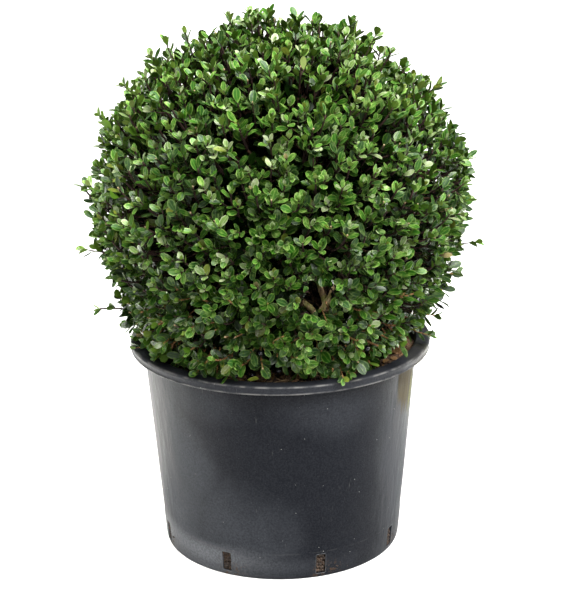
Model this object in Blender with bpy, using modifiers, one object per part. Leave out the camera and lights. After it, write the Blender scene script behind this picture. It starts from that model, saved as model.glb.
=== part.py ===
"""A japanese holly clipped to a ball, growing in a round black nursery pot.

Metres, +Z up.  The origin is the centre of the pot's flat underside and -Y is the front.
"""
import math
import random

import bmesh
import bpy
from mathutils import Matrix, Vector, noise

# Pot
POT_HEIGHT = 0.285
RIM_RADIUS = 0.200
RIM_SKIRT = 0.0115
RIM_ROUND = 0.003
WALL = 0.0028
WALL_TOP_RADIUS = 0.1822
BASE_RADIUS = 0.1588
BASE_THICKNESS = 0.003
BASE_ROUND = 0.003
FOOT_BAND_HEIGHT = 0.0375
FOOT_BAND_STEP = 0.0006
LIP_CHAMFER = 0.0006
POT_SEGMENTS = 72

# Drain slots, turned about +Z from the front
SLOT_COUNT = 8
SLOT_FIRST_ANGLE = math.radians(18)
SLOT_WIDTH = 0.013
SLOT_BOTTOM = 0.006
SLOT_TOP = 0.034

# Potting soil
SOIL_TOP = 0.264
SOIL_RELIEF = 0.007
SOIL_LUMP_SCALE = 28.0
SOIL_SEAT_RADIUS = 0.034
SOIL_SEAT_BLEND = 0.03
SOIL_EDGE_DEPTH = 0.02
SOIL_RINGS = 7
SOIL_SEGMENTS = 36

# Gap that keeps touching pieces apart, and the wider one that faceted round faces need
GAP = 0.0003
ROUND_GAP = 0.0004
MERGE = 0.00001

GOLDEN_ANGLE = math.pi * (3 - math.sqrt(5))

# Crown, a clipped ball whose core is hollow and open below for the limbs
CROWN_CENTRE = Vector((0.002, 0.0, 0.463))
CROWN_TIP_RADIUS = 0.268
CORE_RADIUS = 0.212
CORE_FOOT_RADIUS = 0.230
CORE_LUMPS = 0.012
CORE_LUMP_SCALE = 17.0
CORE_FOOT = 0.277
CORE_FOOT_START = 0.35
CORE_FOOT_END = 0.80
HOLLOW_CENTRE = Vector((0.0, 0.0, 0.370))
HOLLOW_RADIUS = 0.125
TWIG_FORK_COUNT = 60
TWIG_FORK_DEPTH = 0.055
SHOOT_COUNT = 122
SHOOT_REACH = 0.022
SHOOT_REACH_SPREAD = 0.006
SHOOT_LEAN = 0.05
SHOOT_THICKNESS = 0.0030
STEM_TOP = 0.525
STEM_TIP_RADIUS = 0.0040
CLEARANCE = 0.003
LEAVES_A_SHOOT = 4
LEAF_LENGTH = 0.058
LEAF_WIDTH = 0.036
LEAF_THICKNESS = 0.0024
LEAF_SHOULDER = 0.55
LEAF_BLUNTNESS = 0.48
LEAF_RIDGE = 0.30
LEAF_SUNK = 0.0005
LEAF_STEP = 0.0055
LEAF_TIP_GAP = 0.003
LEAF_SIZES = (0.90, 1.08)
LEAF_SPREAD = (math.radians(62), math.radians(78))
TIP_LEAF_SPREAD = (math.radians(32), math.radians(44))
LEAF_SHRINKS = (1.0, 0.8, 0.62)
LEAF_TURNS = (0.0, 0.4, -0.4)
LEAF_TURN = math.radians(120)
TWIG_FACES = (math.radians(30), math.radians(150), math.radians(270))
STRAY_ELEVATIONS_LEFT = (math.radians(-11), math.radians(-28))
STRAY_ELEVATIONS_RIGHT = (math.radians(-9), math.radians(24))
STRAY_REACH = 0.040
SEED = 27

# Trunk and limbs
TRUNK_RADIUS = 0.0135
TRUNK_TOP_RADIUS = 0.0105
TRUNK_HEIGHT = 0.052
TRUNK_LEAN = Vector((0.010, -0.006, 0.0))
TRUNK_LEAN_CURVE = 1.6
TRUNK_RING_SPACING = 1.35
ROOT_FLARE = 0.55
ROOT_FLARE_HEIGHT = 0.012
ROOT_LOBES = 5
ROOT_LOBE_DEPTH = 0.14
LIMB_POINTS = 9
BOUGH_NAMES = ("bough_front_right", "bough_right", "bough_back_right",
               "bough_back_left", "bough_left", "bough_front_left")
BOUGH_FIRST_AZIMUTH = math.radians(-56)
BOUGH_RADIUS = 0.0062
BOUGH_TIP_RADIUS = 0.0038
LOW_BOUGH = {"start": 0.018, "elevation": math.radians(6)}
HIGH_BOUGH = {"start": 0.033, "elevation": math.radians(40)}
BOUGH_OVERRUN = 0.008
BOUGH_BULGE = 0.018
BOUGH_SAG = 0.032
LIMB_SUNK = 0.004
LEADER_RADIUS = 0.0072
LEADER_TIP_RADIUS = 0.0050
LEADER_TOP = 0.462
SIDE_LIMB_RADIUS = 0.0042
SIDE_LIMB_TIP_RADIUS = 0.0030
SIDE_LIMB_BULGE = Vector((0.0, 0.006, 0.0))

# The fork that shows through a hollow in the leaves at the front
FORK_POINT = Vector((0.0545, -0.085, 0.338))
FORK_VIEW = Vector((-0.021, -0.945, 0.326))
FORK_SHARE = 0.62
FORK_WINDOW_RADIUS = 0.021
FORK_WINDOW_FLARE = 1.25
FORK_WINDOW_LENGTH = 0.25
FORK_RIGHT_TIP = Vector((0.076, -0.108, 0.388))
FORK_UP_TIP = Vector((0.044, -0.100, 0.408))
FORK_LEFT_TIP = Vector((0.014, -0.122, 0.372))


def clear_scene():
    for obj in list(bpy.data.objects):
        bpy.data.objects.remove(obj, do_unlink=True)


def make_collection(name):
    collection = bpy.data.collections.new(name)
    bpy.context.scene.collection.children.link(collection)
    return collection


def make_material(name, colour, roughness):
    material = bpy.data.materials.new(name)
    material.use_nodes = True
    shader = material.node_tree.nodes["Principled BSDF"]
    shader.inputs["Base Color"].default_value = (*colour, 1.0)
    shader.inputs["Roughness"].default_value = roughness
    shader.inputs["Metallic"].default_value = 0.0
    return material


def add_object(name, mesh, collection, material=None):
    obj = bpy.data.objects.new(name, mesh)
    collection.objects.link(obj)
    if material:
        mesh.materials.clear()
        mesh.materials.append(material)
    return obj


def mesh_from_bmesh(name, bm):
    mesh = bpy.data.meshes.new(name)
    bm.to_mesh(mesh)
    bm.free()
    return mesh


def make_cutter(obj):
    obj.hide_render = True
    obj.display_type = "WIRE"
    return obj


def bake(obj):
    """Swap the object's mesh for the one its modifiers give."""
    bpy.context.view_layer.update()
    evaluated = obj.evaluated_get(bpy.context.evaluated_depsgraph_get())
    obj.data = bpy.data.meshes.new_from_object(evaluated)
    obj.modifiers.clear()
    return obj


def boolean(obj, operation, other):
    modifier = obj.modifiers.new(operation.title(), "BOOLEAN")
    modifier.operation = operation
    modifier.solver = "EXACT"
    if isinstance(other, bpy.types.Collection):
        modifier.operand_type = "COLLECTION"
        modifier.collection = other
    else:
        modifier.object = other


def arc(centre, radius, start, end, count):
    """Points (radius, height) on an arc; the angles are in degrees."""
    points = []
    for i in range(count + 1):
        angle = math.radians(start + (end - start) * i / count)
        points.append((centre[0] + radius * math.cos(angle), centre[1] + radius * math.sin(angle)))
    return points


def turned(name, profile, segments, collection, material):
    """A turned solid from a profile of (radius, height) that runs down its outer side."""
    bm = bmesh.new()
    verts = [bm.verts.new((radius, 0.0, height)) for radius, height in profile]
    for first, second in zip(verts, verts[1:]):
        bm.edges.new((first, second))
    obj = add_object(name, mesh_from_bmesh(name, bm), collection, material)
    screw = obj.modifiers.new("Screw", "SCREW")
    screw.axis = "Z"
    screw.steps = segments
    screw.render_steps = segments
    screw.use_merge_vertices = True
    screw.merge_threshold = MERGE
    screw.use_smooth_shade = True
    return obj


def wall_radius(height):
    """Outer radius of the pot's plain wall at a height."""
    share = height / (POT_HEIGHT - RIM_SKIRT)
    return BASE_RADIUS + (WALL_TOP_RADIUS - BASE_RADIUS) * share


def pot(collection, cutters):
    skirt_foot = POT_HEIGHT - RIM_SKIRT
    bore = wall_radius(POT_HEIGHT) - WALL
    band = FOOT_BAND_STEP
    profile = [(0.0, BASE_THICKNESS), (wall_radius(BASE_THICKNESS) - WALL, BASE_THICKNESS)]
    profile += arc((bore + RIM_ROUND, POT_HEIGHT - RIM_ROUND), RIM_ROUND, 180, 90, 2)
    profile += arc((RIM_RADIUS - RIM_ROUND, POT_HEIGHT - RIM_ROUND), RIM_ROUND, 90, 0, 3)
    profile += [(RIM_RADIUS, skirt_foot + LIP_CHAMFER), (RIM_RADIUS - LIP_CHAMFER, skirt_foot)]
    profile += [(RIM_RADIUS - WALL, skirt_foot), (RIM_RADIUS - WALL, POT_HEIGHT - WALL)]
    profile += [(wall_radius(POT_HEIGHT - WALL), POT_HEIGHT - WALL)]
    profile += [(wall_radius(FOOT_BAND_HEIGHT + band), FOOT_BAND_HEIGHT + band)]
    profile += [(wall_radius(FOOT_BAND_HEIGHT) + band, FOOT_BAND_HEIGHT)]
    foot_radius = wall_radius(0.0) + band
    profile += arc((foot_radius - BASE_ROUND, BASE_ROUND), BASE_ROUND, 0, -90, 3)
    profile += [(0.0, 0.0)]
    material = make_material("pot_plastic", (0.035, 0.037, 0.041), 0.5)
    body = turned("pot", profile, POT_SEGMENTS, collection, material)
    for i in range(SLOT_COUNT):
        boolean(body, "DIFFERENCE", slot_cutter(i, cutters))


def slot_cutter(index, cutters):
    bm = bmesh.new()
    bmesh.ops.create_cube(bm, size=1.0)
    obj = add_object(f"slot_cutter_{index}", mesh_from_bmesh("slot_cutter", bm), cutters)
    angle = SLOT_FIRST_ANGLE + index * 2 * math.pi / SLOT_COUNT
    size = Matrix.Diagonal((SLOT_WIDTH, 6 * WALL, SLOT_TOP - SLOT_BOTTOM, 1.0))
    place = Matrix.Translation((0.0, -wall_radius(SLOT_TOP), (SLOT_TOP + SLOT_BOTTOM) / 2))
    obj.matrix_world = Matrix.Rotation(angle, 4, "Z") @ place @ size
    return make_cutter(obj)


def soil_height(x, y):
    """Height of the potting soil's rough top, flat where the trunk stands."""
    rough = noise.noise(Vector((x, y, 0.0)) * SOIL_LUMP_SCALE + Vector((0.0, 0.0, 1.7)))
    away = min(1.0, max(0.0, math.hypot(x, y) - SOIL_SEAT_RADIUS) / SOIL_SEAT_BLEND)
    return SOIL_TOP + SOIL_RELIEF * rough * away


def soil(collection):
    bottom = BASE_THICKNESS + GAP
    clear = WALL + GAP / math.cos(math.pi / SOIL_SEGMENTS)
    bottom_radius = wall_radius(bottom) - clear
    top_radius = wall_radius(SOIL_TOP) - clear
    profile = [(0.0, SOIL_TOP), (SOIL_SEAT_RADIUS, SOIL_TOP)]
    for i in range(1, SOIL_RINGS):
        share = i / (SOIL_RINGS - 1)
        profile.append((SOIL_SEAT_RADIUS + (top_radius - SOIL_SEAT_RADIUS) * share, SOIL_TOP))
    edge = SOIL_TOP - SOIL_EDGE_DEPTH
    profile += [(wall_radius(edge) - clear, edge)]
    profile += [(bottom_radius, bottom), (0.0, bottom)]
    material = make_material("potting_soil", (0.060, 0.036, 0.022), 0.95)
    fill = bake(turned("potting_soil", profile, SOIL_SEGMENTS, collection, material))
    for vertex in fill.data.vertices:
        if vertex.co.z > SOIL_TOP - GAP:
            vertex.co.z = soil_height(vertex.co.x, vertex.co.y)


def limb(name, points, radii, collection, material=None):
    """A round tapering limb along its points, as a closed mesh."""
    curve = bpy.data.curves.new(name, "CURVE")
    curve.dimensions = "3D"
    curve.bevel_depth = 1.0
    curve.bevel_resolution = 2
    curve.use_fill_caps = True
    spline = curve.splines.new("POLY")
    spline.points.add(len(points) - 1)
    for node, point, radius in zip(spline.points, points, radii):
        node.co = (*point, 1.0)
        node.radius = radius
    guide = add_object(name + "_curve", curve, collection)
    bpy.context.view_layer.update()
    evaluated = guide.evaluated_get(bpy.context.evaluated_depsgraph_get())
    mesh = bpy.data.meshes.new_from_object(evaluated)
    matrix = guide.matrix_world.copy()
    bpy.data.objects.remove(guide, do_unlink=True)
    bpy.data.curves.remove(curve)
    bm = bmesh.new()
    bm.from_mesh(mesh)
    bmesh.ops.remove_doubles(bm, verts=bm.verts, dist=MERGE)
    bm.to_mesh(mesh)
    bm.free()
    mesh.shade_smooth()
    obj = add_object(name, mesh, collection, material)
    obj.matrix_world = matrix
    return obj


def bend(start, control, end):
    """Points on a smooth bend from start to end that leans to the control point."""
    points = []
    for i in range(LIMB_POINTS):
        t = i / (LIMB_POINTS - 1)
        points.append(start * (1 - t) ** 2 + control * 2 * t * (1 - t) + end * t * t)
    return points


def bend_through(start, middle, end, t):
    """The bend's points where it passes through a middle point at its share t."""
    control = (middle - start * (1 - t) ** 2 - end * t * t) / (2 * t * (1 - t))
    return bend(start, control, end)


def taper(first, last, extra=0.0):
    return [first + (last - first) * i / (LIMB_POINTS - 1) + extra for i in range(LIMB_POINTS)]


def trunk_axis(height):
    """Point on the trunk's axis at a height above its flat cut."""
    share = height / TRUNK_HEIGHT
    return Vector((0.0, 0.0, SOIL_TOP + GAP + height)) + TRUNK_LEAN * share ** TRUNK_LEAN_CURVE


def trunk_solid(name, collection, extra=0.0, material=None):
    points = []
    radii = []
    for i in range(LIMB_POINTS):
        share = (i / (LIMB_POINTS - 1)) ** TRUNK_RING_SPACING
        height = TRUNK_HEIGHT * share
        flare = ROOT_FLARE * math.exp(-height / ROOT_FLARE_HEIGHT)
        radius = TRUNK_RADIUS + (TRUNK_TOP_RADIUS - TRUNK_RADIUS) * share
        points.append(trunk_axis(height))
        radii.append(radius * (1 + flare) + extra)
    points[1].xy = points[0].xy
    points[-1] = points[-1] + (points[-1] - points[-2]).normalized() * extra
    obj = limb(name, points, radii, collection, material)
    for vertex in obj.data.vertices:
        above = vertex.co.z - points[0].z
        lobes = ROOT_LOBE_DEPTH * math.exp(-above / ROOT_FLARE_HEIGHT)
        turn = math.atan2(vertex.co.y, vertex.co.x)
        vertex.co.xy *= 1 + lobes * math.cos(ROOT_LOBES * turn)
    return obj


def bough_route(index):
    """Points of a main bough, from inside the trunk to just past the hollow's wall."""
    setting = HIGH_BOUGH if index % 2 else LOW_BOUGH
    start = trunk_axis(setting["start"])
    if index == 0:
        return bend_through(start, FORK_POINT, FORK_RIGHT_TIP, FORK_SHARE)
    azimuth = BOUGH_FIRST_AZIMUTH + index * 2 * math.pi / len(BOUGH_NAMES)
    outward = Vector((math.cos(azimuth), math.sin(azimuth), 0.0))
    rise = math.sin(setting["elevation"])
    reach = math.cos(setting["elevation"])
    end = HOLLOW_CENTRE + (outward * reach + Vector((0, 0, rise))) * (HOLLOW_RADIUS + BOUGH_OVERRUN)
    control = start.lerp(end, 0.5) + outward * BOUGH_BULGE - Vector((0, 0, BOUGH_SAG))
    return bend(start, control, end)


def ball(name, centre, radius, collection):
    bm = bmesh.new()
    bmesh.ops.create_icosphere(bm, subdivisions=2, radius=radius)
    obj = add_object(name, mesh_from_bmesh(name, bm), collection)
    obj.location = centre
    return obj


def limbs(collection, cutters):
    """The trunk, the leader, six main boughs and the fork's two side limbs."""
    bark = make_material("bark", (0.105, 0.078, 0.052), 0.9)
    trunk_solid("trunk", collection, material=bark)
    trunk_space = make_cutter(trunk_solid("trunk_space", cutters, extra=ROUND_GAP))
    inside = make_cutter(ball("hollow_inside", HOLLOW_CENTRE, HOLLOW_RADIUS - ROUND_GAP, cutters))
    leader_solid(collection, trunk_space, bark)
    for index, name in enumerate(BOUGH_NAMES):
        radii = taper(BOUGH_RADIUS, BOUGH_TIP_RADIUS)
        bough = limb(name, bough_route(index), radii, collection, bark)
        boolean(bough, "DIFFERENCE", trunk_space)
        boolean(bough, "INTERSECT", inside)
    front = bough_route(0)
    front_radii = taper(BOUGH_RADIUS, BOUGH_TIP_RADIUS, ROUND_GAP)
    front_space = make_cutter(limb("front_bough_space", front, front_radii, cutters))
    sides = (("side_limb_up", front[5], FORK_UP_TIP), ("side_limb_left", front[4], FORK_LEFT_TIP))
    for name, start, tip in sides:
        route = bend(start, start.lerp(tip, 0.5) + SIDE_LIMB_BULGE, tip)
        side = limb(name, route, taper(SIDE_LIMB_RADIUS, SIDE_LIMB_TIP_RADIUS), collection, bark)
        boolean(side, "DIFFERENCE", front_space)
        boolean(side, "INTERSECT", inside)


def leader_solid(collection, trunk_space, bark):
    """The middle limb, from the trunk's top straight up to the crown's own stem."""
    top = trunk_axis(TRUNK_HEIGHT)
    tip = Vector((0.0, 0.0, LEADER_TOP))
    control = Vector((tip.x, tip.y, (top.z + tip.z) / 2))
    route = bend(top - Vector((0.0, 0.0, LIMB_SUNK)), control, tip)
    route[-2].xy = tip.xy
    leader = limb("leader", route, taper(LEADER_RADIUS, LEADER_TIP_RADIUS), collection, bark)
    boolean(leader, "DIFFERENCE", trunk_space)


def core_radius(direction):
    """How far the lumpy core reaches from the crown's centre; it widens towards its foot."""
    low = min(1.0, max(0.0, (-direction.z - CORE_FOOT_START) / (CORE_FOOT_END - CORE_FOOT_START)))
    lump = noise.noise(direction * CORE_RADIUS * CORE_LUMP_SCALE + Vector((3.1, 0.4, 2.2)))
    return CORE_RADIUS + (CORE_FOOT_RADIUS - CORE_RADIUS) * low + CORE_LUMPS * lump


def core(pieces, cutters):
    """The dense inner mass: a lumpy ball, hollow and open below, with the fork's window."""
    bm = bmesh.new()
    bmesh.ops.create_icosphere(bm, subdivisions=3, radius=CORE_RADIUS)
    for vertex in bm.verts:
        direction = vertex.co.normalized()
        vertex.co = direction * core_radius(direction)
    obj = add_object("core", mesh_from_bmesh("core", bm), pieces)
    obj.location = CROWN_CENTRE
    hollow = make_cutter(ball("hollow", HOLLOW_CENTRE, HOLLOW_RADIUS, cutters))
    boolean(obj, "DIFFERENCE", hollow)
    boolean(obj, "DIFFERENCE", foot_cutter(cutters))
    boolean(obj, "DIFFERENCE", window_cutter(cutters))
    return bake(obj)


def foot_cutter(cutters):
    bm = bmesh.new()
    bmesh.ops.create_cube(bm, size=1.0)
    obj = add_object("foot_cutter", mesh_from_bmesh("foot_cutter", bm), cutters)
    obj.location = (0.0, 0.0, CORE_FOOT - 0.5)
    return make_cutter(obj)


def window_cutter(cutters):
    bm = bmesh.new()
    bmesh.ops.create_cone(bm, cap_ends=True, segments=10, radius1=FORK_WINDOW_RADIUS,
                          radius2=FORK_WINDOW_RADIUS * FORK_WINDOW_FLARE, depth=FORK_WINDOW_LENGTH)
    obj = add_object("window_cutter", mesh_from_bmesh("window_cutter", bm), cutters)
    turn = FORK_VIEW.to_track_quat("Z", "Y").to_matrix().to_4x4()
    obj.matrix_world = Matrix.Translation(FORK_POINT + FORK_VIEW * FORK_WINDOW_LENGTH / 2) @ turn
    return make_cutter(obj)


def leaf_mesh():
    """A leaf along +X: a low five-sided cone, pointed at its root and blunt at its tip."""
    bm = bmesh.new()
    bmesh.ops.create_cone(bm, cap_ends=True, segments=5, radius1=1.0, radius2=0.0, depth=1.0)
    bmesh.ops.rotate(bm, cent=(0, 0, 0), matrix=Matrix.Rotation(math.pi / 2, 3, "Z"), verts=bm.verts)
    for vertex in bm.verts:
        share, width, height = LEAF_RIDGE, 0.0, 1.0
        if vertex.co.z < 0:
            share, width, height = leaf_outline(vertex.co)
        vertex.co = (share * LEAF_LENGTH, width * LEAF_WIDTH / 2, height * LEAF_THICKNESS)
    return mesh_from_bmesh("leaf", bm)


def leaf_outline(corner):
    """Where a corner of the cone's foot goes: share of length, half widths and height."""
    side = math.copysign(1.0, corner.y)
    if corner.x < -0.9:
        return 0.0, 0.0, 0.0
    if corner.x < 0:
        return LEAF_SHOULDER, side, 0.0
    return 1.0, side * LEAF_BLUNTNESS, 0.0


def twig_mesh():
    """A three-sided twig along +Z, one unit long."""
    bm = bmesh.new()
    bmesh.ops.create_cone(bm, cap_ends=True, segments=3, radius1=1.0, radius2=0.6, depth=1.0)
    bmesh.ops.translate(bm, vec=(0.0, 0.0, 0.5), verts=bm.verts)
    return mesh_from_bmesh("twig", bm)


def sphere_directions(count):
    """Even directions over a sphere, by the golden angle."""
    for i in range(count):
        z = 1 - 2 * (i + 0.5) / count
        ring = math.sqrt(1 - z * z)
        turn = GOLDEN_ANGLE * i
        yield Vector((ring * math.cos(turn), ring * math.sin(turn), z))


def frame(along, normal):
    """Rotation that turns +X to one direction and +Z towards another."""
    x_axis = along.normalized()
    y_axis = normal.cross(x_axis).normalized()
    z_axis = x_axis.cross(y_axis)
    return Matrix((x_axis, y_axis, z_axis)).transposed()


def fits(points):
    """True where no point leaves the crown's space, meets the pot or soil, or blocks the window."""
    for point in points:
        if (point - CROWN_CENTRE).length > CROWN_TIP_RADIUS:
            return False
        ring = math.hypot(point.x, point.y)
        if point.z < POT_HEIGHT + CLEARANCE and ring > wall_radius(SOIL_TOP) - WALL - CLEARANCE:
            return False
        if point.z < SOIL_TOP + SOIL_RELIEF + CLEARANCE:
            return False
        if (point - HOLLOW_CENTRE).length < HOLLOW_RADIUS + CLEARANCE * 3:
            return False
        offset = point - FORK_POINT
        if offset.dot(FORK_VIEW) > 0 and offset.cross(FORK_VIEW).length < FORK_WINDOW_RADIUS:
            return False
    return True


def twig_forks():
    """Even points inside the core's wall where its branches fork into shoots."""
    forks = []
    for direction in sphere_directions(TWIG_FORK_COUNT):
        point = CROWN_CENTRE + direction * (core_radius(direction) - TWIG_FORK_DEPTH)
        in_hollow = (point - HOLLOW_CENTRE).length < HOLLOW_RADIUS + SHOOT_THICKNESS * 2
        if point.z > CORE_FOOT + SHOOT_THICKNESS * 2 and not in_hollow:
            forks.append(point)
    return forks


def shoot(direction, reach, forks, meshes, pieces, rng):
    """One shoot from its nearest fork out through the core, with leaves set round it."""
    twig, leaf = meshes
    exit_point = CROWN_CENTRE + direction * core_radius(direction)
    root = min(forks, key=lambda fork: (fork - exit_point).length)
    lean = Vector([rng.uniform(-SHOOT_LEAN, SHOOT_LEAN) for _ in range(3)])
    axis = ((exit_point - root).normalized() + lean).normalized()
    phase = rng.choice(TWIG_FACES)
    spreads = [rng.uniform(*LEAF_SPREAD) for _ in range(LEAVES_A_SHOOT - 1)]
    spreads.append(rng.uniform(*TIP_LEAF_SPREAD))
    sizes = [rng.uniform(*LEAF_SIZES) for _ in range(LEAVES_A_SHOOT)]
    inside = (exit_point - root).length
    while reach > LEAF_STEP and not fits((root + axis * inside, root + axis * (inside + reach))):
        reach -= LEAF_STEP
    if reach <= LEAF_STEP:
        return 0
    length = inside + reach
    turn = axis.to_track_quat("Z", "Y").to_matrix()
    scale = Matrix.Diagonal((SHOOT_THICKNESS, SHOOT_THICKNESS, length, 1.0))
    add_object("twig", twig, pieces).matrix_world = Matrix.Translation(root) @ turn.to_4x4() @ scale
    side = turn.col[0]
    made = 0
    for i, (spread, size) in enumerate(zip(spreads, sizes)):
        node = root + axis * (length - LEAF_TIP_GAP - LEAF_STEP * (LEAVES_A_SHOOT - 1 - i))
        made += add_leaf(leaf, node, axis, side, phase + LEAF_TURN * i, spread, size, pieces)
    return made


def add_leaf(leaf, node, axis, side, phase, spread, size, pieces):
    """Sets a leaf at its node, turned or made smaller where it would not fit, or not at all."""
    for shrink in LEAF_SHRINKS:
        for turn in LEAF_TURNS:
            around = Matrix.Rotation(phase + turn, 3, axis) @ side
            along = axis * math.cos(spread) + around * math.sin(spread)
            scale = Matrix.Diagonal((size * shrink, size * shrink, 1.0, 1.0))
            rotation = frame(along, axis).to_4x4()
            place = Matrix.Translation(node - along * LEAF_SUNK) @ rotation @ scale
            if fits([place @ vertex.co for vertex in leaf.vertices]):
                add_object("leaf", leaf, pieces).matrix_world = place
                return 1
    return 0


def keep_largest_shell(obj):
    """Fill sealed hollows and drop loose scraps: only the largest closed shell stays."""
    bm = bmesh.new()
    bm.from_mesh(obj.data)
    bmesh.ops.triangulate(bm, faces=bm.faces)
    unseen = set(bm.verts)
    shells = []
    while unseen:
        shell = set()
        queue = [unseen.pop()]
        while queue:
            vertex = queue.pop()
            shell.add(vertex)
            for edge in vertex.link_edges:
                other = edge.other_vert(vertex)
                if other in unseen:
                    unseen.remove(other)
                    queue.append(other)
        shells.append(shell)
    shells.sort(key=len)
    for shell in shells[:-1]:
        bmesh.ops.delete(bm, geom=list(shell), context="VERTS")
    bm.to_mesh(obj.data)
    bm.free()


def crown(collection, cutters):
    """The clipped crown: a core, one stem over the leader, and leafy shoots all round."""
    pieces = make_collection("crown_pieces")
    obj = core(pieces, cutters)
    pieces.objects.unlink(obj)
    collection.objects.link(obj)
    obj.name = "crown"
    obj.data.materials.clear()
    obj.data.materials.append(make_material("leaves", (0.070, 0.150, 0.030), 0.55))
    stem_top = Vector((0.0, 0.0, STEM_TOP))
    stem_foot = Vector((0.0, 0.0, LEADER_TOP + GAP))
    route = bend(stem_foot, stem_foot.lerp(stem_top, 0.5), stem_top)
    limb("crown_stem", route, taper(LEADER_TIP_RADIUS, STEM_TIP_RADIUS), pieces)
    meshes = (twig_mesh(), leaf_mesh())
    count = 0
    forks = twig_forks()
    rng = random.Random(SEED)
    for direction in sphere_directions(SHOOT_COUNT):
        reach = SHOOT_REACH + rng.uniform(-1, 1) * SHOOT_REACH_SPREAD
        count += shoot(direction, reach, forks, meshes, pieces, rng)
    for side, elevations in ((-1, STRAY_ELEVATIONS_LEFT), (1, STRAY_ELEVATIONS_RIGHT)):
        for elevation in elevations:
            direction = Vector((side * math.cos(elevation), 0.0, math.sin(elevation)))
            count += shoot(direction, STRAY_REACH, forks, meshes, pieces, rng)
    boolean(obj, "UNION", pieces)
    bake(obj)
    for piece in list(pieces.objects):
        bpy.data.objects.remove(piece, do_unlink=True)
    bpy.data.collections.remove(pieces)
    keep_largest_shell(obj)
    print(f"crown: {count} leaves, {len(obj.data.polygons)} faces")


def main():
    clear_scene()
    collection = make_collection("potted_japanese_holly")
    cutters = make_collection("cutters")
    pot(collection, cutters)
    soil(collection)
    limbs(collection, cutters)
    crown(collection, cutters)


main()
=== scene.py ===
import math
import random

import bmesh
import bpy
import numpy as np
from mathutils import Matrix, Vector, noise


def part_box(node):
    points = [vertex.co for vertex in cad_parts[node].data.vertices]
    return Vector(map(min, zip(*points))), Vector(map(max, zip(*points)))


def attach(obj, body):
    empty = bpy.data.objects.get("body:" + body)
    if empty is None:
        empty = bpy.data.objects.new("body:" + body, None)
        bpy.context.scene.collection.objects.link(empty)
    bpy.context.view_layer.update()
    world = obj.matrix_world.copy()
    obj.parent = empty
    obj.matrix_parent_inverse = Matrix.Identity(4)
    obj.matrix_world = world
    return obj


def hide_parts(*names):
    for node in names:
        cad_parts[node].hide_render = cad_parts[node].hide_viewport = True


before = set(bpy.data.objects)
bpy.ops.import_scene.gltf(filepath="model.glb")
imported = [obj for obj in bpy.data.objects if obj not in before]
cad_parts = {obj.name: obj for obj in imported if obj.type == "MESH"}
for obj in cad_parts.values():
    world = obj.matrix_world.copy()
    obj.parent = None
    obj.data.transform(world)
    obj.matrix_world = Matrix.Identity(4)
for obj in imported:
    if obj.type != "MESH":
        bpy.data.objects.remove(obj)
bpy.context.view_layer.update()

# The looks of a japanese holly clipped to a ball in a black nursery pot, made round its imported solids.
# Metres, +Z up, the front is -Y, and the pot's flat underside stands on the floor at z = 0.
rimRadius, _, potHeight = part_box("pot")[1]
fullTurn = 2 * math.pi
goldenAngle = math.pi * (3 - math.sqrt(5))
oddAxis = np.array((0.31, 0.17, 0.93))  # in line with no twig, so that a cross product with it has a length


# Helpers for meshes

def asUnit(vectors):
    return vectors / np.linalg.norm(vectors, axis=-1, keepdims=True)


def upward(height):
    return np.array((0.0, 0.0, height))


def clamped(value, low=0.0, high=1.0):
    return min(high, max(low, value))


def nearest(points, place):
    return points[np.argmin(np.linalg.norm(points - place, axis=1))]


def aroundPot(radius, turn, height):  # a point at this turn from the front
    return radius * math.sin(turn), -radius * math.cos(turn), height


def addObject(name, data, material=None):
    obj = bpy.data.objects.new(name, data)
    bpy.context.scene.collection.objects.link(obj)
    if material:
        data.materials.clear()
        data.materials.append(material)
    return obj


def meshFrom(bm, name):
    mesh = bpy.data.meshes.new(name)
    bm.to_mesh(mesh)
    bm.free()
    return mesh


def ringMesh(name, rings):  # a closed skin through rings of points, of which the first and last are one point
    bm = bmesh.new()
    made = [[bm.verts.new(point) for point in ring] for ring in rings]
    segments = len(rings[1])
    for first, second in zip(made, made[1:]):
        for i in range(segments):
            j = (i + 1) % segments
            corners = [ring[k % len(ring)] for ring, k in ((first, i), (first, j), (second, j), (second, i))]
            bm.faces.new(list(dict.fromkeys(corners)))
    bmesh.ops.recalc_face_normals(bm, faces=bm.faces)
    return meshFrom(bm, name)


def evaluatedMesh(obj):
    bpy.context.view_layer.update()
    return bpy.data.meshes.new_from_object(obj.evaluated_get(bpy.context.evaluated_depsgraph_get()))


def setTone(mesh, values):  # one light or dark number a point, which materials read by name
    mesh.attributes.new("tone", "FLOAT", "POINT").data.foreach_set("value", np.asarray(values, np.float32))


def finishPiece(obj, slotName, *nodes):
    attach(obj, "root")
    if nodes:
        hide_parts(*nodes)
    return obj


def trianglePiece(name, points, faces, material, slotName, *nodes, tones=None, smooth=True):
    mesh = bpy.data.meshes.new(name)
    mesh.vertices.add(len(points))
    mesh.vertices.foreach_set("co", np.asarray(points, np.float32).ravel())
    mesh.loops.add(3 * len(faces))
    mesh.loops.foreach_set("vertex_index", np.asarray(faces, np.int32).ravel())
    mesh.polygons.add(len(faces))
    mesh.polygons.foreach_set("loop_start", np.arange(0, 3 * len(faces), 3, dtype=np.int32))
    mesh.update(calc_edges=True)
    if smooth:
        mesh.shade_smooth()
    else:
        mesh.shade_flat()
    if tones is not None:  # one for each copy in the mesh
        setTone(mesh, np.repeat(tones, len(points) // len(tones)))
    return finishPiece(addObject(name, mesh, material), slotName, *nodes)


def copiedFaces(faces, count, size):  # of so many copies of a mesh with this number of points
    return (faces[None] + (np.arange(count) * size)[:, None, None]).reshape(-1, 3)


def joinArrays(parts):
    shifts = np.cumsum([0] + [len(points) for points, faces in parts])
    faces = [faces + shift for (points, faces), shift in zip(parts, shifts)]
    return np.concatenate([points for points, faces in parts]), np.concatenate(faces)


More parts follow.
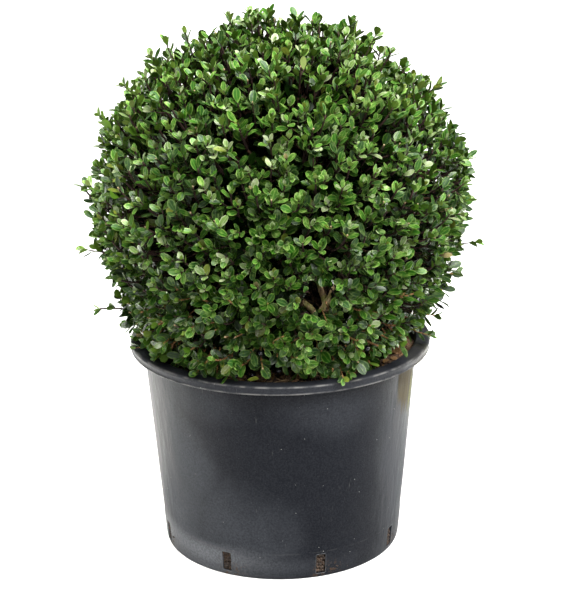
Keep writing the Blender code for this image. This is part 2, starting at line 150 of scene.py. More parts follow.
def tubeArrays(paths, radii, sides):  # paths is (count, points, 3) and radii (count, points)
    count, steps = radii.shape
    along = asUnit(np.gradient(paths, axis=1))
    across = asUnit(np.cross(along, oddAxis))
    third = np.cross(along, across)
    turns = np.arange(sides) * fullTurn / sides
    ring = across[:, :, None] * np.cos(turns)[:, None] + third[:, :, None] * np.sin(turns)[:, None]
    points = (paths[:, :, None] + ring * radii[:, :, None, None]).reshape(-1, 3)
    step, side = np.meshgrid(np.arange(steps - 1), np.arange(sides), indexing="ij")
    a = step * sides + side
    b = step * sides + (side + 1) % sides
    walls = np.stack([a, b, b + sides, a, b + sides, a + sides], -1).reshape(-1, 3)
    fan = np.arange(1, sides - 1)
    foot = np.stack([np.zeros_like(fan), fan + 1, fan], -1)
    head = np.stack([np.zeros_like(fan), fan, fan + 1], -1) + (steps - 1) * sides
    return points, copiedFaces(np.concatenate([walls, foot, head]), count, steps * sides)


def curvedPaths(starts, controls, ends, steps):
    t = np.linspace(0, 1, steps)[None, :, None]
    return starts[:, None] * (1 - t) ** 2 + controls[:, None] * 2 * t * (1 - t) + ends[:, None] * t * t


def bend(start, control, end, steps=40):
    return curvedPaths(np.array([start]), np.array([control]), np.array([end]), steps)[0]


def scatteredSolids(template, faces, places, sizes, rng):  # copies of one small solid, turned and stretched
    count = len(places)
    spin = rng.normal(size=(count, 4))
    spin /= np.linalg.norm(spin, axis=1, keepdims=True)
    w, x, y, z = spin.T
    turn = np.stack([
        np.stack([1 - 2 * (y * y + z * z), 2 * (x * y - w * z), 2 * (x * z + w * y)], -1),
        np.stack([2 * (x * y + w * z), 1 - 2 * (x * x + z * z), 2 * (y * z - w * x)], -1),
        np.stack([2 * (x * z - w * y), 2 * (y * z + w * x), 1 - 2 * (x * x + y * y)], -1)], 1)
    shapes = template[None] * sizes[:, None] * rng.uniform(0.82, 1.12, (count, len(template), 1))
    points = np.einsum("nij,nvj->nvi", turn, shapes) + places[:, None]
    return points.reshape(-1, 3), copiedFaces(faces, count, len(template))


def roundTemplate(fineness):
    bm = bmesh.new()
    bmesh.ops.create_icosphere(bm, subdivisions=fineness, radius=1.0)
    points = np.array([vertex.co[:] for vertex in bm.verts])
    faces = np.array([[vertex.index for vertex in face.verts] for face in bm.faces])
    bm.free()
    return points, faces


# Helpers for materials

class Value:  # what a node puts out, with which sums are written as with a number
    def __init__(self, socket):
        self.socket = socket

    def __add__(self, other):
        return mathNode("ADD", self, other)

    def __sub__(self, other):
        return mathNode("SUBTRACT", self, other)

    def __rsub__(self, other):
        return mathNode("SUBTRACT", other, self)

    def __mul__(self, other):
        return mathNode("MULTIPLY", self, other)

    def __truediv__(self, other):
        return mathNode("DIVIDE", self, other)

    def __abs__(self):
        return mathNode("ABSOLUTE", self)

    def beside(self, name):  # another output of the same node
        return Value(self.socket.node.outputs[name])

    def ramp(self, low, high, newLow=0.0, newHigh=1.0):  # runs smoothly from newLow at low to newHigh at high
        inputs = {"Value": self, "From Min": low, "From Max": high, "To Min": newLow, "To Max": newHigh}
        return addNode(treeOf(self), "ShaderNodeMapRange", inputs, interpolation_type="SMOOTHSTEP")


def treeOf(*values):
    return next(value.socket.id_data for value in values if isinstance(value, Value))


def feed(socket, value):  # a link from a node, or a plain number or colour
    if isinstance(value, Value):
        socket.id_data.links.new(value.socket, socket)
    else:
        socket.default_value = (*value[:3], 1.0) if socket.type == "RGBA" else value


def addNode(tree, kind, inputs=(), out=0, **settings):
    node = tree.nodes.new(kind)
    for key, value in settings.items():
        setattr(node, key, value)
    for key, value in dict(inputs).items():
        feed(node.inputs[key], value)
    return Value(node.outputs[out])


def mathNode(operation, *values, clamp=False):
    return addNode(treeOf(*values), "ShaderNodeMath", enumerate(values), operation=operation, use_clamp=clamp)


def mixColour(share, first, second, blend="MIX"):
    tree, inputs = treeOf(share, first, second), {0: share, 6: first, 7: second}
    return addNode(tree, "ShaderNodeMix", inputs, 2, data_type="RGBA", blend_type=blend)


def objectPlace(tree):
    return addNode(tree, "ShaderNodeTexCoord", out="Object")


def axesOf(place):
    x = addNode(treeOf(place), "ShaderNodeSeparateXYZ", {0: place})
    return x, x.beside(1), x.beside(2)


def noiseNode(place, scale, detail, stretch=None, turn=(0.0, 0.0, 0.0), roughness=0.5):
    tree = treeOf(place)
    if stretch:
        place = addNode(tree, "ShaderNodeMapping", {"Vector": place, "Rotation": turn, "Scale": stretch})
    inputs = {"Vector": place, "Scale": scale, "Detail": detail, "Roughness": roughness}
    return addNode(tree, "ShaderNodeTexNoise", inputs)


def toned(tree, colour):  # lighter or darker by the tone that the mesh carries
    tone = addNode(tree, "ShaderNodeAttribute", out="Fac", attribute_name="tone")
    grey = addNode(tree, "ShaderNodeCombineColor", {0: tone, 1: tone, 2: tone})
    return mixColour(1.0, colour, grey, "MULTIPLY")


def newMaterial(name):
    material = bpy.data.materials.new(name)
    material.use_nodes = True
    return material, material.node_tree


def setSurface(tree, colour, roughness, height=None, strength=0.0, distance=0.0, specular=0.5):
    shader = tree.nodes["Principled BSDF"].inputs
    feed(shader["Base Color"], colour)
    feed(shader["Roughness"], roughness)
    shader["Specular IOR Level"].default_value = specular
    if height:
        bump = {"Strength": strength, "Distance": distance, "Height": height}
        feed(shader["Normal"], addNode(tree, "ShaderNodeBump", bump))


def newGroup(name, inputs, *outputs):  # its tree, the values it is given and the sockets that it puts out
    tree = bpy.data.node_groups.new(name, "ShaderNodeTree")
    for key, value in inputs.items():
        isNumber = isinstance(value, float)
        kind = "NodeSocketFloat" if isNumber else "NodeSocketColor"
        socket = tree.interface.new_socket(name=key, in_out="INPUT", socket_type=kind)
        socket.default_value = value if isNumber else (*value, 1.0)
    for key in outputs:
        kind = "NodeSocketColor" if key == "Color" else "NodeSocketFloat"
        tree.interface.new_socket(name=key, in_out="OUTPUT", socket_type=kind)
    sockets = tree.nodes.new("NodeGroupInput").outputs
    return tree, {key: Value(sockets[key]) for key in inputs}, tree.nodes.new("NodeGroupOutput").inputs


def useGroup(tree, group, *values):  # its first output, with the values in the order of its sockets
    return addNode(tree, "ShaderNodeGroup", enumerate(values), node_tree=group)


# Effects that several materials share

def makeMottle():  # soft cloudy patches, from 0 to 1
    tree, given, out = newGroup("Mottle", {"Scale": 20.0, "Contrast": 1.0, "Shift": 0.0}, "Value")
    place = addNode(tree, "ShaderNodeVectorMath", {0: objectPlace(tree), 1: given["Shift"]}, operation="ADD")
    cloud = noiseNode(place, given["Scale"], 4.0)
    feed(out["Value"], mathNode("MULTIPLY_ADD", cloud - 0.5, given["Contrast"], 0.5, clamp=True))
    return tree


def makeSpecks():  # small round specks that lie apart
    tree, given, out = newGroup("Specks", {"Scale": 200.0, "Size": 0.2, "Share": 0.2}, "Mask")
    inputs = {"Vector": objectPlace(tree), "Scale": given["Scale"]}
    far = addNode(tree, "ShaderNodeTexVoronoi", inputs, "Distance")
    pick = addNode(tree, "ShaderNodeSeparateColor", {0: far.beside("Color")})
    dots = mathNode("LESS_THAN", far, given["Size"]) * mathNode("LESS_THAN", pick, given["Share"])
    feed(out["Mask"], dots)
    return tree


def makeBand():  # a soft broken line round the object at one height
    tree, given, out = newGroup("Band", {"Height": 0.1, "Half Width": 0.001, "Break Up": 0.5}, "Mask")
    place = objectPlace(tree)
    away = abs(axesOf(place)[2] - given["Height"]) / given["Half Width"]
    ragged = noiseNode(place, 60.0, 5.0).ramp(0.38, 0.62)
    kept = ragged * given["Break Up"] + (1.0 - given["Break Up"])
    feed(out["Mask"], mathNode("SUBTRACT", 1.0, away, clamp=True) * kept)
    return tree


def makeBark():  # fissured bark with lichen and green algae
    inputs = {"Dark": (0.03, 0.02, 0.015), "Light": (0.2, 0.15, 0.1), "Algae": (0.1, 0.13, 0.03),
              "Algae Share": 0.3, "Scale": 120.0}
    tree, given, out = newGroup("Bark", inputs, "Color", "Roughness", "Height")
    place = objectPlace(tree)
    grain = noiseNode(place, given["Scale"], 6.0, (1.0, 1.0, 0.35), roughness=0.65)
    base = mixColour(grain.ramp(0.36, 0.66), given["Dark"], given["Light"])
    threshold = 0.75 - given["Algae Share"] * 0.4
    green = noiseNode(place, 105.0, 3.0).ramp(threshold, threshold + 0.12) * 0.75
    feed(out["Color"], mixColour(green, base, given["Algae"]))
    feed(out["Roughness"], grain.ramp(0.3, 0.7, 0.9, 0.62))
    feed(out["Height"], grain)
    return tree


def makeLeafBlade():  # midrib, pale margin that is a painted highlight, wax bloom with painted sheen, and tone of a leaf whose map runs root to tip
    inputs = {"Blade": (0.03, 0.08, 0.02), "Bloom And Sheen": (0.1, 0.15, 0.1), "Bloom And Sheen Share": 0.3, "Rib": 0.3}
    tree, given, out = newGroup("Leaf blade", inputs, "Color", "Roughness", "Height")
    along, level, _ = axesOf(addNode(tree, "ShaderNodeUVMap", uv_map="leafMap"))
    side = abs(level - 0.5)
    rib = side.ramp(0.0, 0.09, 1.0, 0.0)
    # the pale margin is a painted highlight
    marginHighlight = side.ramp(0.34, 0.48) * 0.62
    cloud = noiseNode(objectPlace(tree), 170.0, 2.0)
    # pale patches of bloom, partly painted sheen
    waxedAndSheened = mixColour(cloud.ramp(0.49, 0.66) * given["Bloom And Sheen Share"], given["Blade"], given["Bloom And Sheen"])
    lit = mixColour(mathNode("MAXIMUM", rib * given["Rib"], marginHighlight), waxedAndSheened, given["Bloom And Sheen"])
    feed(out["Color"], toned(tree, lit))
    feed(out["Roughness"], cloud.ramp(0.3, 0.7, 0.36, 0.22))
    veins = mathNode("SINE", (along - side) * 42.0)
    feed(out["Height"], veins * 0.12 - rib)
    return tree


mottle, specks, band, bark, leafBlade = makeMottle(), makeSpecks(), makeBand(), makeBark(), makeLeafBlade()
print("shared effects made")


# Camera, floor and soft light

view = {
    "position": (0.0068, -2.2789, 1.0918),
    "aim": (0.0068, 0.0, 0.339),
    "roll": math.radians(-0.61),
    "lens": 110.1,
    "sensor_width": 36.0,
    "clip_start": 0.05,
    "clip_end": 200.0,
}

studio = {
    "floorSize": 60.0,
    "floorColour": (0.6, 0.6, 0.59),
    "worldColour": (0.92, 0.95, 1.0),
    "worldStrength": 0.025,
    "lightColour": (1.0, 0.985, 0.94),
    "sun": ((0.36, -0.5, 1.0), 13.2, math.radians(52)),  # where it shines from, strength, spread
    # A broad light behind gives the leaves their sheen. The floor beside the pot is lit more, for the pot's
    # flanks mirror it: place, aim, width, height, power, spread
    "panels": {
        "light_back": ((0.0, 2.4, 1.4), (0.0, 0.0, 0.5), 3.2, 1.4, 14.0, math.radians(180)),
        "light_left": ((-0.75, 0.14, 0.95), (-0.75, 0.14, 0.0), 0.78, 0.85, 32.5, math.radians(60)),
        "light_right": ((0.92, 0.52, 0.95), (0.92, 0.52, 0.0), 0.72, 0.95, 55.0, math.radians(60)),
        "light_rim": ((0.0, -0.62, 0.52), (0.0, -0.165, 0.27), 0.5, 0.05, 0.13, math.radians(40)),
    },
    # The small lamp that lights the fork in its gap: place, radius, power, cone, blend
    "forkLamp": ((0.054, -0.158, 0.42), 0.006, 1.2, math.radians(62), 0.7),
}


def aimedFrom(place, aim):
    turn = (Vector(aim) - Vector(place)).to_track_quat("-Z", "Y")
    return Matrix.Translation(place) @ turn.to_matrix().to_4x4()


def addCamera():
    data = bpy.data.cameras.new("camera")
    for key in ("lens", "sensor_width", "clip_start", "clip_end"):
        setattr(data, key, view[key])
    camera = addObject("camera", data)
    camera.matrix_world = aimedFrom(view["position"], view["aim"]) @ Matrix.Rotation(view["roll"], 4, "Z")
    bpy.context.scene.camera = camera


def addLight(name, kind, place, aim, power, **settings):
    data = bpy.data.lights.new(name, kind)
    data.energy = power
    for key, value in settings.items():
        setattr(data, key, value)
    addObject(name, data).matrix_world = aimedFrom(place, aim)


def addLights():
    for name, (place, aim, width, height, power, spread) in studio["panels"].items():
        addLight(name, "AREA", place, aim, power, shape="RECTANGLE", size=width, size_y=height, spread=spread,
                 color=studio["lightColour"])
    place, strength, spread = studio["sun"]
    addLight("light_key", "SUN", place, (0.0, 0.0, 0.0), strength, angle=spread)
    place, radius, power, cone, blend = studio["forkLamp"]
    addLight("light_fork", "SPOT", place, limb["forkPoint"], power, shadow_soft_size=radius,
             spot_size=cone, spot_blend=blend)
    world = bpy.data.worlds.new("studio")
    world.use_nodes = True
    sockets = world.node_tree.nodes["Background"].inputs
    feed(sockets["Color"], studio["worldColour"])
    feed(sockets["Strength"], studio["worldStrength"])
    bpy.context.scene.world = world
    bpy.context.scene.view_settings.view_transform = "Standard"


def addFloor():
    material, tree = newMaterial("floor_pale")
    darker = [value * 0.97 for value in studio["floorColour"]]
    setSurface(tree, mixColour(useGroup(tree, mottle, 3.0, 0.4), studio["floorColour"], darker), 0.85)
    bm = bmesh.new()
    bmesh.ops.create_grid(bm, x_segments=2, y_segments=2, size=studio["floorSize"] / 2)
    mesh = meshFrom(bm, "floor")
    addObject("floor", mesh, material)


# The nursery pot

pot = {
    "segments": 192,
    "baseRadius": 0.1588,
    "wallTopRadius": 0.1822,
    "wall": 0.0028,
    "floor": 0.003,
    "floorFlat": 0.08,
    "skirt": 0.0115,
    "edgeRound": 0.003,
    "beadRadius": 0.0011,
    "flangeDip": 0.0005,
    "rimTaper": 0.0006,
    "footBand": 0.0375,
    "footStep": 0.0006,
    "footSlope": 0.005,
    "ripple": 0.0007,
    "rippleScale": (2.6, 7.0),  # round the wall and up it
    "rippled": (0.045, 0.268, 0.03),  # from, to and how soon it fades
    "slots": 8,
    "slotFirst": math.radians(18),
    "slotWidth": 0.013,
    "slotLow": 0.006,
    "slotHigh": 0.034,
    "slotCorner": 0.0012,
    "flash": 0.00032,
    "flashStep": 0.0035,
    "sharpFrom": math.radians(38),
}
skirtFoot = potHeight - pot["skirt"]
wallTaper = (pot["wallTopRadius"] - pot["baseRadius"]) / skirtFoot
slotMiddle = (pot["slotLow"] + pot["slotHigh"]) / 2


def wallRadius(height):
    return pot["baseRadius"] + wallTaper * height


boreRadius = wallRadius(potHeight) - pot["wall"]


def arcPoints(radius, height, size, start, end, count):
    angles = np.radians(np.linspace(start, end, count))
    return [(radius + size * math.cos(a), height + size * math.sin(a)) for a in angles]


def potProfile():  # from the floor inside, up and over the rim, to the underside
    keys = ("wall", "floor", "floorFlat", "edgeRound", "beadRadius", "footStep", "footBand")
    wall, floor, flat, rounding, bead, step, foot = (pot[key] for key in keys)
    slope, edge = foot + pot["footSlope"], rimRadius - pot["rimTaper"]
    slotLevels = [pot["slotLow"], slotMiddle, pot["slotHigh"]]
    levels = list(np.linspace(0.05, potHeight - 0.02, 16))
    points = [(0.0, floor), (flat, floor)]
    points += [(wallRadius(z) - wall, z) for z in [floor, *slotLevels, *levels]]
    points += arcPoints(boreRadius + rounding, potHeight - rounding, rounding, 180, 90, 7)
    points += [((boreRadius + rimRadius) / 2, potHeight - pot["flangeDip"])]
    points += arcPoints(rimRadius - rounding, potHeight - rounding, rounding, 90, 0, 8)
    points += [(edge, potHeight - 1.6 * rounding), (edge, skirtFoot + 2.6 * bead)]
    points += arcPoints(rimRadius - bead, skirtFoot + bead, bead, 50, -120, 7)
    points += [(rimRadius - wall, skirtFoot + 0.0008), (rimRadius - wall, potHeight - wall)]
    points += [(wallRadius(z), z) for z in [potHeight - wall, *reversed(levels), slope]]
    points += [(wallRadius(foot) + step * 0.8, foot)]
    points += [(wallRadius(z) + step, z) for z in reversed(slotLevels)]
    points += arcPoints(wallRadius(0.0) + step - rounding, rounding, rounding, 0, -90, 6)
    return points + [(flat, 0.0), (0.0, 0.0)]


def slotAngle(index):
    return pot["slotFirst"] + index * fullTurn / pot["slots"]


def slotCutter(index):
    bm = bmesh.new()
    bmesh.ops.create_cube(bm, size=1.0)
    size = (pot["slotWidth"], 8 * pot["wall"], pot["slotHigh"] - pot["slotLow"])
    bmesh.ops.scale(bm, vec=size, verts=bm.verts)
    edges = [edge for edge in bm.edges if abs((edge.verts[0].co - edge.verts[1].co).normalized().y) > 0.9]
    bmesh.ops.bevel(bm, geom=edges, offset=pot["slotCorner"], segments=3, affect="EDGES")
    cutter = addObject("slot_cutter", meshFrom(bm, "slot_cutter"))
    place = Matrix.Translation((0.0, -wallRadius(slotMiddle), slotMiddle))
    cutter.matrix_world = Matrix.Rotation(slotAngle(index), 4, "Z") @ place
    cutter.hide_render = True
    return cutter


def potBody(material):
    rings = []
    low, high, fade = pot["rippled"]
    scale, climb = pot["rippleScale"]
    for radius, height in potProfile():
        ring = []
        ripple = pot["ripple"] * clamped((height - low) / fade) * clamped((high - height) / fade)
        for i in range(pot["segments"] if radius else 1):
            turn = fullTurn * i / pot["segments"]
            wave = noise.noise(Vector((math.cos(turn) * scale, math.sin(turn) * scale, height * climb)))
            ring.append(aroundPot(radius + ripple * wave if radius else 0.0, turn, height))
        rings.append(ring)
    body = addObject("pot_body", ringMesh("pot_body", rings), material)
    cutters = [slotCutter(i) for i in range(pot["slots"])]
    for cutter in cutters:
        modifier = body.modifiers.new("Slot", "BOOLEAN")
        modifier.operation = "DIFFERENCE"
        modifier.solver = "EXACT"
        modifier.object = cutter
    body.data = evaluatedMesh(body)
    body.modifiers.clear()
    for cutter in cutters:
        bpy.data.objects.remove(cutter, do_unlink=True)
    body.data.shade_smooth()
    body.data.set_sharp_from_angle(angle=pot["sharpFrom"])
    finishPiece(body, "pot_plastic", "pot")


def slotFlash(material):  # the thin raised lip that moulding left round each slot
    flash = pot["flash"]
    curve = bpy.data.curves.new("slot_flash", "CURVE")
    curve.dimensions = "3D"
    curve.bevel_depth = flash
    curve.bevel_resolution = 2
    half, corner = pot["slotWidth"] / 2 + flash, pot["slotCorner"] + flash
    low, high = pot["slotLow"] - flash, pot["slotHigh"] + flash
    outline = []
    for x, z, start in ((half, high, 0), (-half, high, 90), (-half, low, 180), (half, low, 270)):
        middleX, middleZ = x - math.copysign(corner, x), z - math.copysign(corner, z - slotMiddle)
        outline += arcPoints(middleX, middleZ, corner, start, start + 90, 5)
    dense = []
    for first, second in zip(outline, outline[1:] + outline[:1]):
        steps = max(1, round(math.dist(first, second) / pot["flashStep"]))
        dense += [np.array(first) + (np.array(second) - first) * i / steps for i in range(steps)]
    for index in range(pot["slots"]):
        spline = curve.splines.new("POLY")
        spline.use_cyclic_u = True
        spline.points.add(len(dense) - 1)
        for node, (x, z) in zip(spline.points, dense):
            radius = wallRadius(z) + pot["footStep"]
            node.co = (*aroundPot(radius, slotAngle(index) + x / radius, z), 1.0)
    guide = addObject("slot_flash_curve", curve)
    mesh = evaluatedMesh(guide)
    bpy.data.objects.remove(guide, do_unlink=True)
    mesh.shade_smooth()
    finishPiece(addObject("slot_flash", mesh, material), "pot_plastic")


potFinish = {
    "colour": (0.0012, 0.0018, 0.0036),
    "layers": {  # over the colour, from the lowest up: colour and strength
        # haze and sheen: paler scuffed plastic, and painted reflections on the flanks
        "hazeAndSheen": ((0.0375, 0.0405, 0.0465), 1.0),
        "grain": ((0.0375, 0.0405, 0.0465), 0.13),
        # splash and sheen: dust on the foot at the left, partly a painted reflection
        "splashAndSheen": ((0.11, 0.114, 0.122), 0.68),
        "scratch": ((0.27, 0.262, 0.245), 0.09),
        # dust and painted light: dust on the rim and inner wall, lighter where shade falls
        "dustAndPaintedLight": ((0.056, 0.058, 0.064), 1.0),
        # worn edges of the rim, with painted highlight lines
        "wornAndHighlight": ((0.27, 0.262, 0.245), 0.31),
        # a faint painted highlight along the foot's crease
        "creaseHighlight": ((0.27, 0.262, 0.245), 0.04),
        "stain": ((0.046, 0.036, 0.016), 1.0),
        "lichen": ((0.092, 0.1, 0.024), 1.0),
        "dots": ((0.24, 0.24, 0.23), 0.7),
        "grit": ((0.24, 0.24, 0.23), 0.07),
        "earth": ((0.06, 0.034, 0.018), 0.65),
    },
    # Soft paler patches, dull scuffs with painted reflections: angle, height, half width, half height,
    # strength
    "patches": (
        (1.04, 0.205, 0.24, 0.13, 0.44), (0.34, 0.24, 0.5, 0.042, 0.38), (-0.36, 0.066, 0.66, 0.07, 0.64),
        (-1.02, 0.06, 0.42, 0.12, 1.0), (-0.72, 0.022, 0.66, 0.034, 0.9), (-0.6, 0.248, 0.45, 0.045, 0.4),
        (1.2, 0.085, 0.36, 0.12, 0.8), (-0.8, 0.15, 0.3, 0.09, 0.7), (0.05, 0.018, 0.6, 0.022, 0.45),
        (2.4, 0.17, 0.6, 0.08, 0.56), (-2.3, 0.08, 0.7, 0.06, 0.56)),
    "creaseWidth": 0.0012,
    "stain": (math.radians(56), math.radians(78)),  # its first and last angle
    "lichen": (0.25, 0.42),  # how far past the stain's first angle its line starts and ends
    "roughness": (0.48, 0.68),
    "dirtRoughness": 0.35,
    "specular": 0.075,
    "relief": (0.6, 0.0014),  # strength and depth
}


def scuffAndSheenShare(angle, z, hazeAndSheen, fine):  # where the plastic is paler: dull scuffs, and painted reflections of the lamps on its flanks
    share = hazeAndSheen * 0.06
    for middle, height, halfAngle, halfHeight, strength in potFinish["patches"]:
        aside = (angle - middle) / halfAngle
        above = (z - height) / halfHeight
        far = mathNode("SQRT", aside * aside + above * above) - hazeAndSheen * 0.8
        share = mathNode("MAXIMUM", share, far.ramp(-0.4, 0.9, strength, 0.0))
    return share * fine.ramp(0.1, 0.9, 0.6, 1.0)


def splashAndSheenShare(angle, z, hazeAndSheen, fine):  # dust on the foot at the left, lightened further as a painted reflection
    sides = angle.ramp(-0.75, 0.15, 1.0, 0.0) * angle.ramp(-1.9, -1.3)
    levels = (z + hazeAndSheen * 0.016).ramp(0.032, 0.056, 1.0, 0.0) * z.ramp(0.006, 0.024, 0.5, 1.0)
    return sides * levels * fine.ramp(0.1, 0.9, 0.6, 1.0)


def scratchedShare(tree, place):  # fine noise drawn out along the wall, kept where a wide cloud is bright
    hair = noiseNode(place, 1.0, 2.0, (420.0, 420.0, 30.0), (0.9, 0.6, 0.2))
    return hair.ramp(0.67, 0.76) * useGroup(tree, mottle, 15.0, 3.0, 7.0).ramp(0.6, 0.95)


def rimShares(tree, place, angle, fine):  # dust on the rim and inside above the soil, lightened as painted light where it lies in shade, and worn edges with painted highlights
    x, y, z = axesOf(place)
    around = mathNode("SQRT", x * x + y * y)
    bore = z * wallTaper + (pot["baseRadius"] - pot["wall"])
    inner = (around - bore).ramp(0.0003, 0.0014, 0.85, 0.0)
    upper = z.ramp(skirtFoot - 0.002, skirtFoot, 0.0, 0.17) * angle.ramp(0.95, 1.3, 1.0, 2.4)
    dustAndPaintedLight = mathNode("MAXIMUM", inner, upper) * fine.ramp(0.0, 1.0, 0.6, 1.0)
    edge = useGroup(tree, band, potHeight - 0.0012, 0.0015, 0.92)
    foot = useGroup(tree, band, skirtFoot + 0.001, 0.0016, 0.85)
    wornAndHighlight = mathNode("MAXIMUM", edge, foot) * around.ramp(rimRadius - 0.0042, rimRadius - 0.0012)
    return dustAndPaintedLight, wornAndHighlight


def stainShares(place, angle, z, fine):
    # Brown algae below the rim on the right, lower where the wall turns away, with a line of lichen
    start, end = potFinish["stain"]
    lineStart, lineEnd = (start + past for past in potFinish["lichen"])
    streak = noiseNode(place, 1.0, 3.0, (95.0, 95.0, 9.0))
    wander = streak - 0.5
    across = angle + wander * 0.12
    inside = across.ramp(start, start + 0.08) * across.ramp(end - 0.1, end, 1.0, 0.0)
    level = (z - ((angle - start) * -0.1 + 0.224) - wander * 0.09).ramp(-0.008, 0.014)
    below = z.ramp(potHeight - 0.011, potHeight - 0.009, 1.0, 0.15)
    stain = inside * level * streak.ramp(0.2, 0.6, 0.65, 1.0) * below * 0.9
    ragged = angle + wander * 0.22
    strip = ragged.ramp(lineStart, lineStart + 0.06) * ragged.ramp(lineEnd - 0.08, lineEnd, 1.0, 0.0)
    tall = (z - wander * 0.12).ramp(0.178, 0.202) * z.ramp(0.234, 0.248, 1.0, 0.2)
    return stain, strip * tall * fine.ramp(0.2, 0.8, 0.35, 0.8)


def smearedShare(tree, angle, z):  # earth washed out of the slots
    period = fullTurn / pot["slots"]
    turned = angle - (pot["slotFirst"] + 0.05 - 2 * fullTurn - period / 2)
    near = abs(mathNode("MODULO", turned, period) - period / 2).ramp(0.05, 0.16, 1.0, 0.0)
    return near * z.ramp(0.004, 0.03, 1.0, 0.0) * useGroup(tree, mottle, 230.0, 2.5, 5.0).ramp(0.62, 0.88)


def potMaterial():
    material, tree = newMaterial("pot_plastic_worn")
    place = objectPlace(tree)
    x, y, z = axesOf(place)
    angle = mathNode("ARCTAN2", x, y * -1.0)
    hazeAndSheen, fine = useGroup(tree, mottle, 8.0, 2.6, 2.0), useGroup(tree, mottle, 380.0, 2.8, 3.0)
    grain, swell = useGroup(tree, mottle, 500.0, 6.0, 9.0), useGroup(tree, mottle, 9.0, 1.0, 2.0)
    shares = {
        "hazeAndSheen": scuffAndSheenShare(angle, z, hazeAndSheen, fine),
        "grain": grain,
        "splashAndSheen": splashAndSheenShare(angle, z, hazeAndSheen, fine),
        "scratch": scratchedShare(tree, place),
        "creaseHighlight": useGroup(tree, band, pot["footBand"], potFinish["creaseWidth"], 1.0),
        "dots": useGroup(tree, specks, 170.0, 0.1, 0.055),
        "grit": useGroup(tree, specks, 480.0, 0.22, 0.1),
        "earth": smearedShare(tree, angle, z),
    }
    shares["dustAndPaintedLight"], shares["wornAndHighlight"] = rimShares(tree, place, angle, fine)
    shares["stain"], shares["lichen"] = stainShares(place, angle, z, fine)
    colour = potFinish["colour"]
    for name, (over, strength) in potFinish["layers"].items():
        colour = mixColour(shares[name] * strength, colour, over)
    dirt = shares["stain"]
    for name in ("earth", "lichen", "dots"):
        dirt = mathNode("MAXIMUM", dirt, shares[name])
    smooth = shares["hazeAndSheen"].ramp(0.1, 0.8, *potFinish["roughness"])
    rough = mathNode("MULTIPLY_ADD", dirt, potFinish["dirtRoughness"], smooth, clamp=True)
    ripple = noiseNode(place, 1.0, 2.0, (85.0, 85.0, 24.0)) * abs(angle).ramp(0.7, 1.1, 0.25, 1.15)
    height = swell * 2.6 + fine * 0.05 - shares["scratch"] * 0.05 + ripple
    setSurface(tree, colour, rough, height, *potFinish["relief"], potFinish["specular"])
    return material


def flashMaterial():
    material, tree = newMaterial("pot_plastic_flash")
    cloud = useGroup(tree, mottle, 160.0, 2.5)
    base = mixColour(cloud, (0.01, 0.011, 0.013), (0.05, 0.052, 0.056))
    dots = useGroup(tree, specks, 500.0, 0.3, 0.3) * 0.6
    earth = potFinish["layers"]["earth"][0]
    setSurface(tree, mixColour(dots, base, earth), cloud.ramp(0.2, 0.8, 0.4, 0.62))
    return material


potBody(potMaterial())
slotFlash(flashMaterial())
print("pot made")


# Leaf outline: share of the length and half widths, which give 16 faces a leaf

leaf = {
    "length": 0.0182,
    "width": 0.52,
    "widths": (0.84, 1.12),
    "stations": (0.15, 0.4, 0.68, 0.91),
    "halfWidths": (0.36, 0.9, 1.0, 0.57),
    "fold": 0.32,
    "folds": (-0.4, 1.4),
    "curl": (-0.2, 0.1),
    "lightTurn": 0.25,
    "wobble": 0.12,
}


def leafTemplate():
    points, maps = [(0.0, 0.0)], [(0.0, 0.5)]
    for at, half in zip(leaf["stations"], leaf["halfWidths"]):
        for side in (-1, 0, 1):
            points.append((at, half * side))
            maps.append((at, 0.5 + 0.5 * side))
    points.append((1.0, 0.0))
    maps.append((1.0, 0.5))
    faces = [(0, 1, 2), (0, 2, 3)]
    for a in range(1, len(points) - 5, 3):
        for k in (a, a + 1):
            faces += [(k, k + 4, k + 1), (k, k + 3, k + 4)]
    last = len(points) - 1
    faces += [(last - 3, last, last - 2), (last - 2, last, last - 1)]
    return np.array(points), np.array(maps), np.array(faces)


def leafCorners(places, along, normal, sizes, rng):  # every corner of every leaf, as (count, corners, 3)
    count = len(places)
    across = asUnit(np.cross(normal, along))
    normal = np.cross(along, across)
    length = sizes * leaf["length"]
    width = length * leaf["width"] * rng.uniform(*leaf["widths"], count) / 2
    fold = leaf["fold"] * rng.uniform(*leaf["folds"], count)
    curl = rng.uniform(*leaf["curl"], count)
    t, s = leafTemplate()[0].T
    x = length[:, None] * t
    y = width[:, None] * s
    z = np.abs(y) * fold[:, None] + length[:, None] * curl[:, None] * t * t
    return (places[:, None] + x[..., None] * along[:, None] + y[..., None] * across[:, None]
            + z[..., None] * normal[:, None])


def leafPiece(name, corners, tones, material, *nodes):
    template, leafMap, faces = leafTemplate()
    count = len(corners)
    obj = trianglePiece(name, corners.reshape(-1, 3), copiedFaces(faces, count, len(template)), material,
                        "leaves" if nodes else "potting_soil", *nodes, tones=tones)
    layer = obj.data.uv_layers.new(name="leafMap")
    layer.data.foreach_set("uv", np.tile(leafMap[faces].reshape(-1), count).astype(np.float32))


def leafMaterial(name, upper, bloomAndSheen, bloomAndSheenShare, under, sheen):
    material, tree = newMaterial("leaf_" + name)
    skin = useGroup(tree, leafBlade, upper, bloomAndSheen, bloomAndSheenShare, 0.3)
    back = addNode(tree, "ShaderNodeNewGeometry", out="Backfacing")
    rough = back * 0.3 + skin.beside("Roughness")
    setSurface(tree, mixColour(back, skin, under), rough, skin.beside("Height"), 0.35, 0.0006, sheen)
    return material


# Potting soil with bark chips, crumbs, fallen leaves and twigs

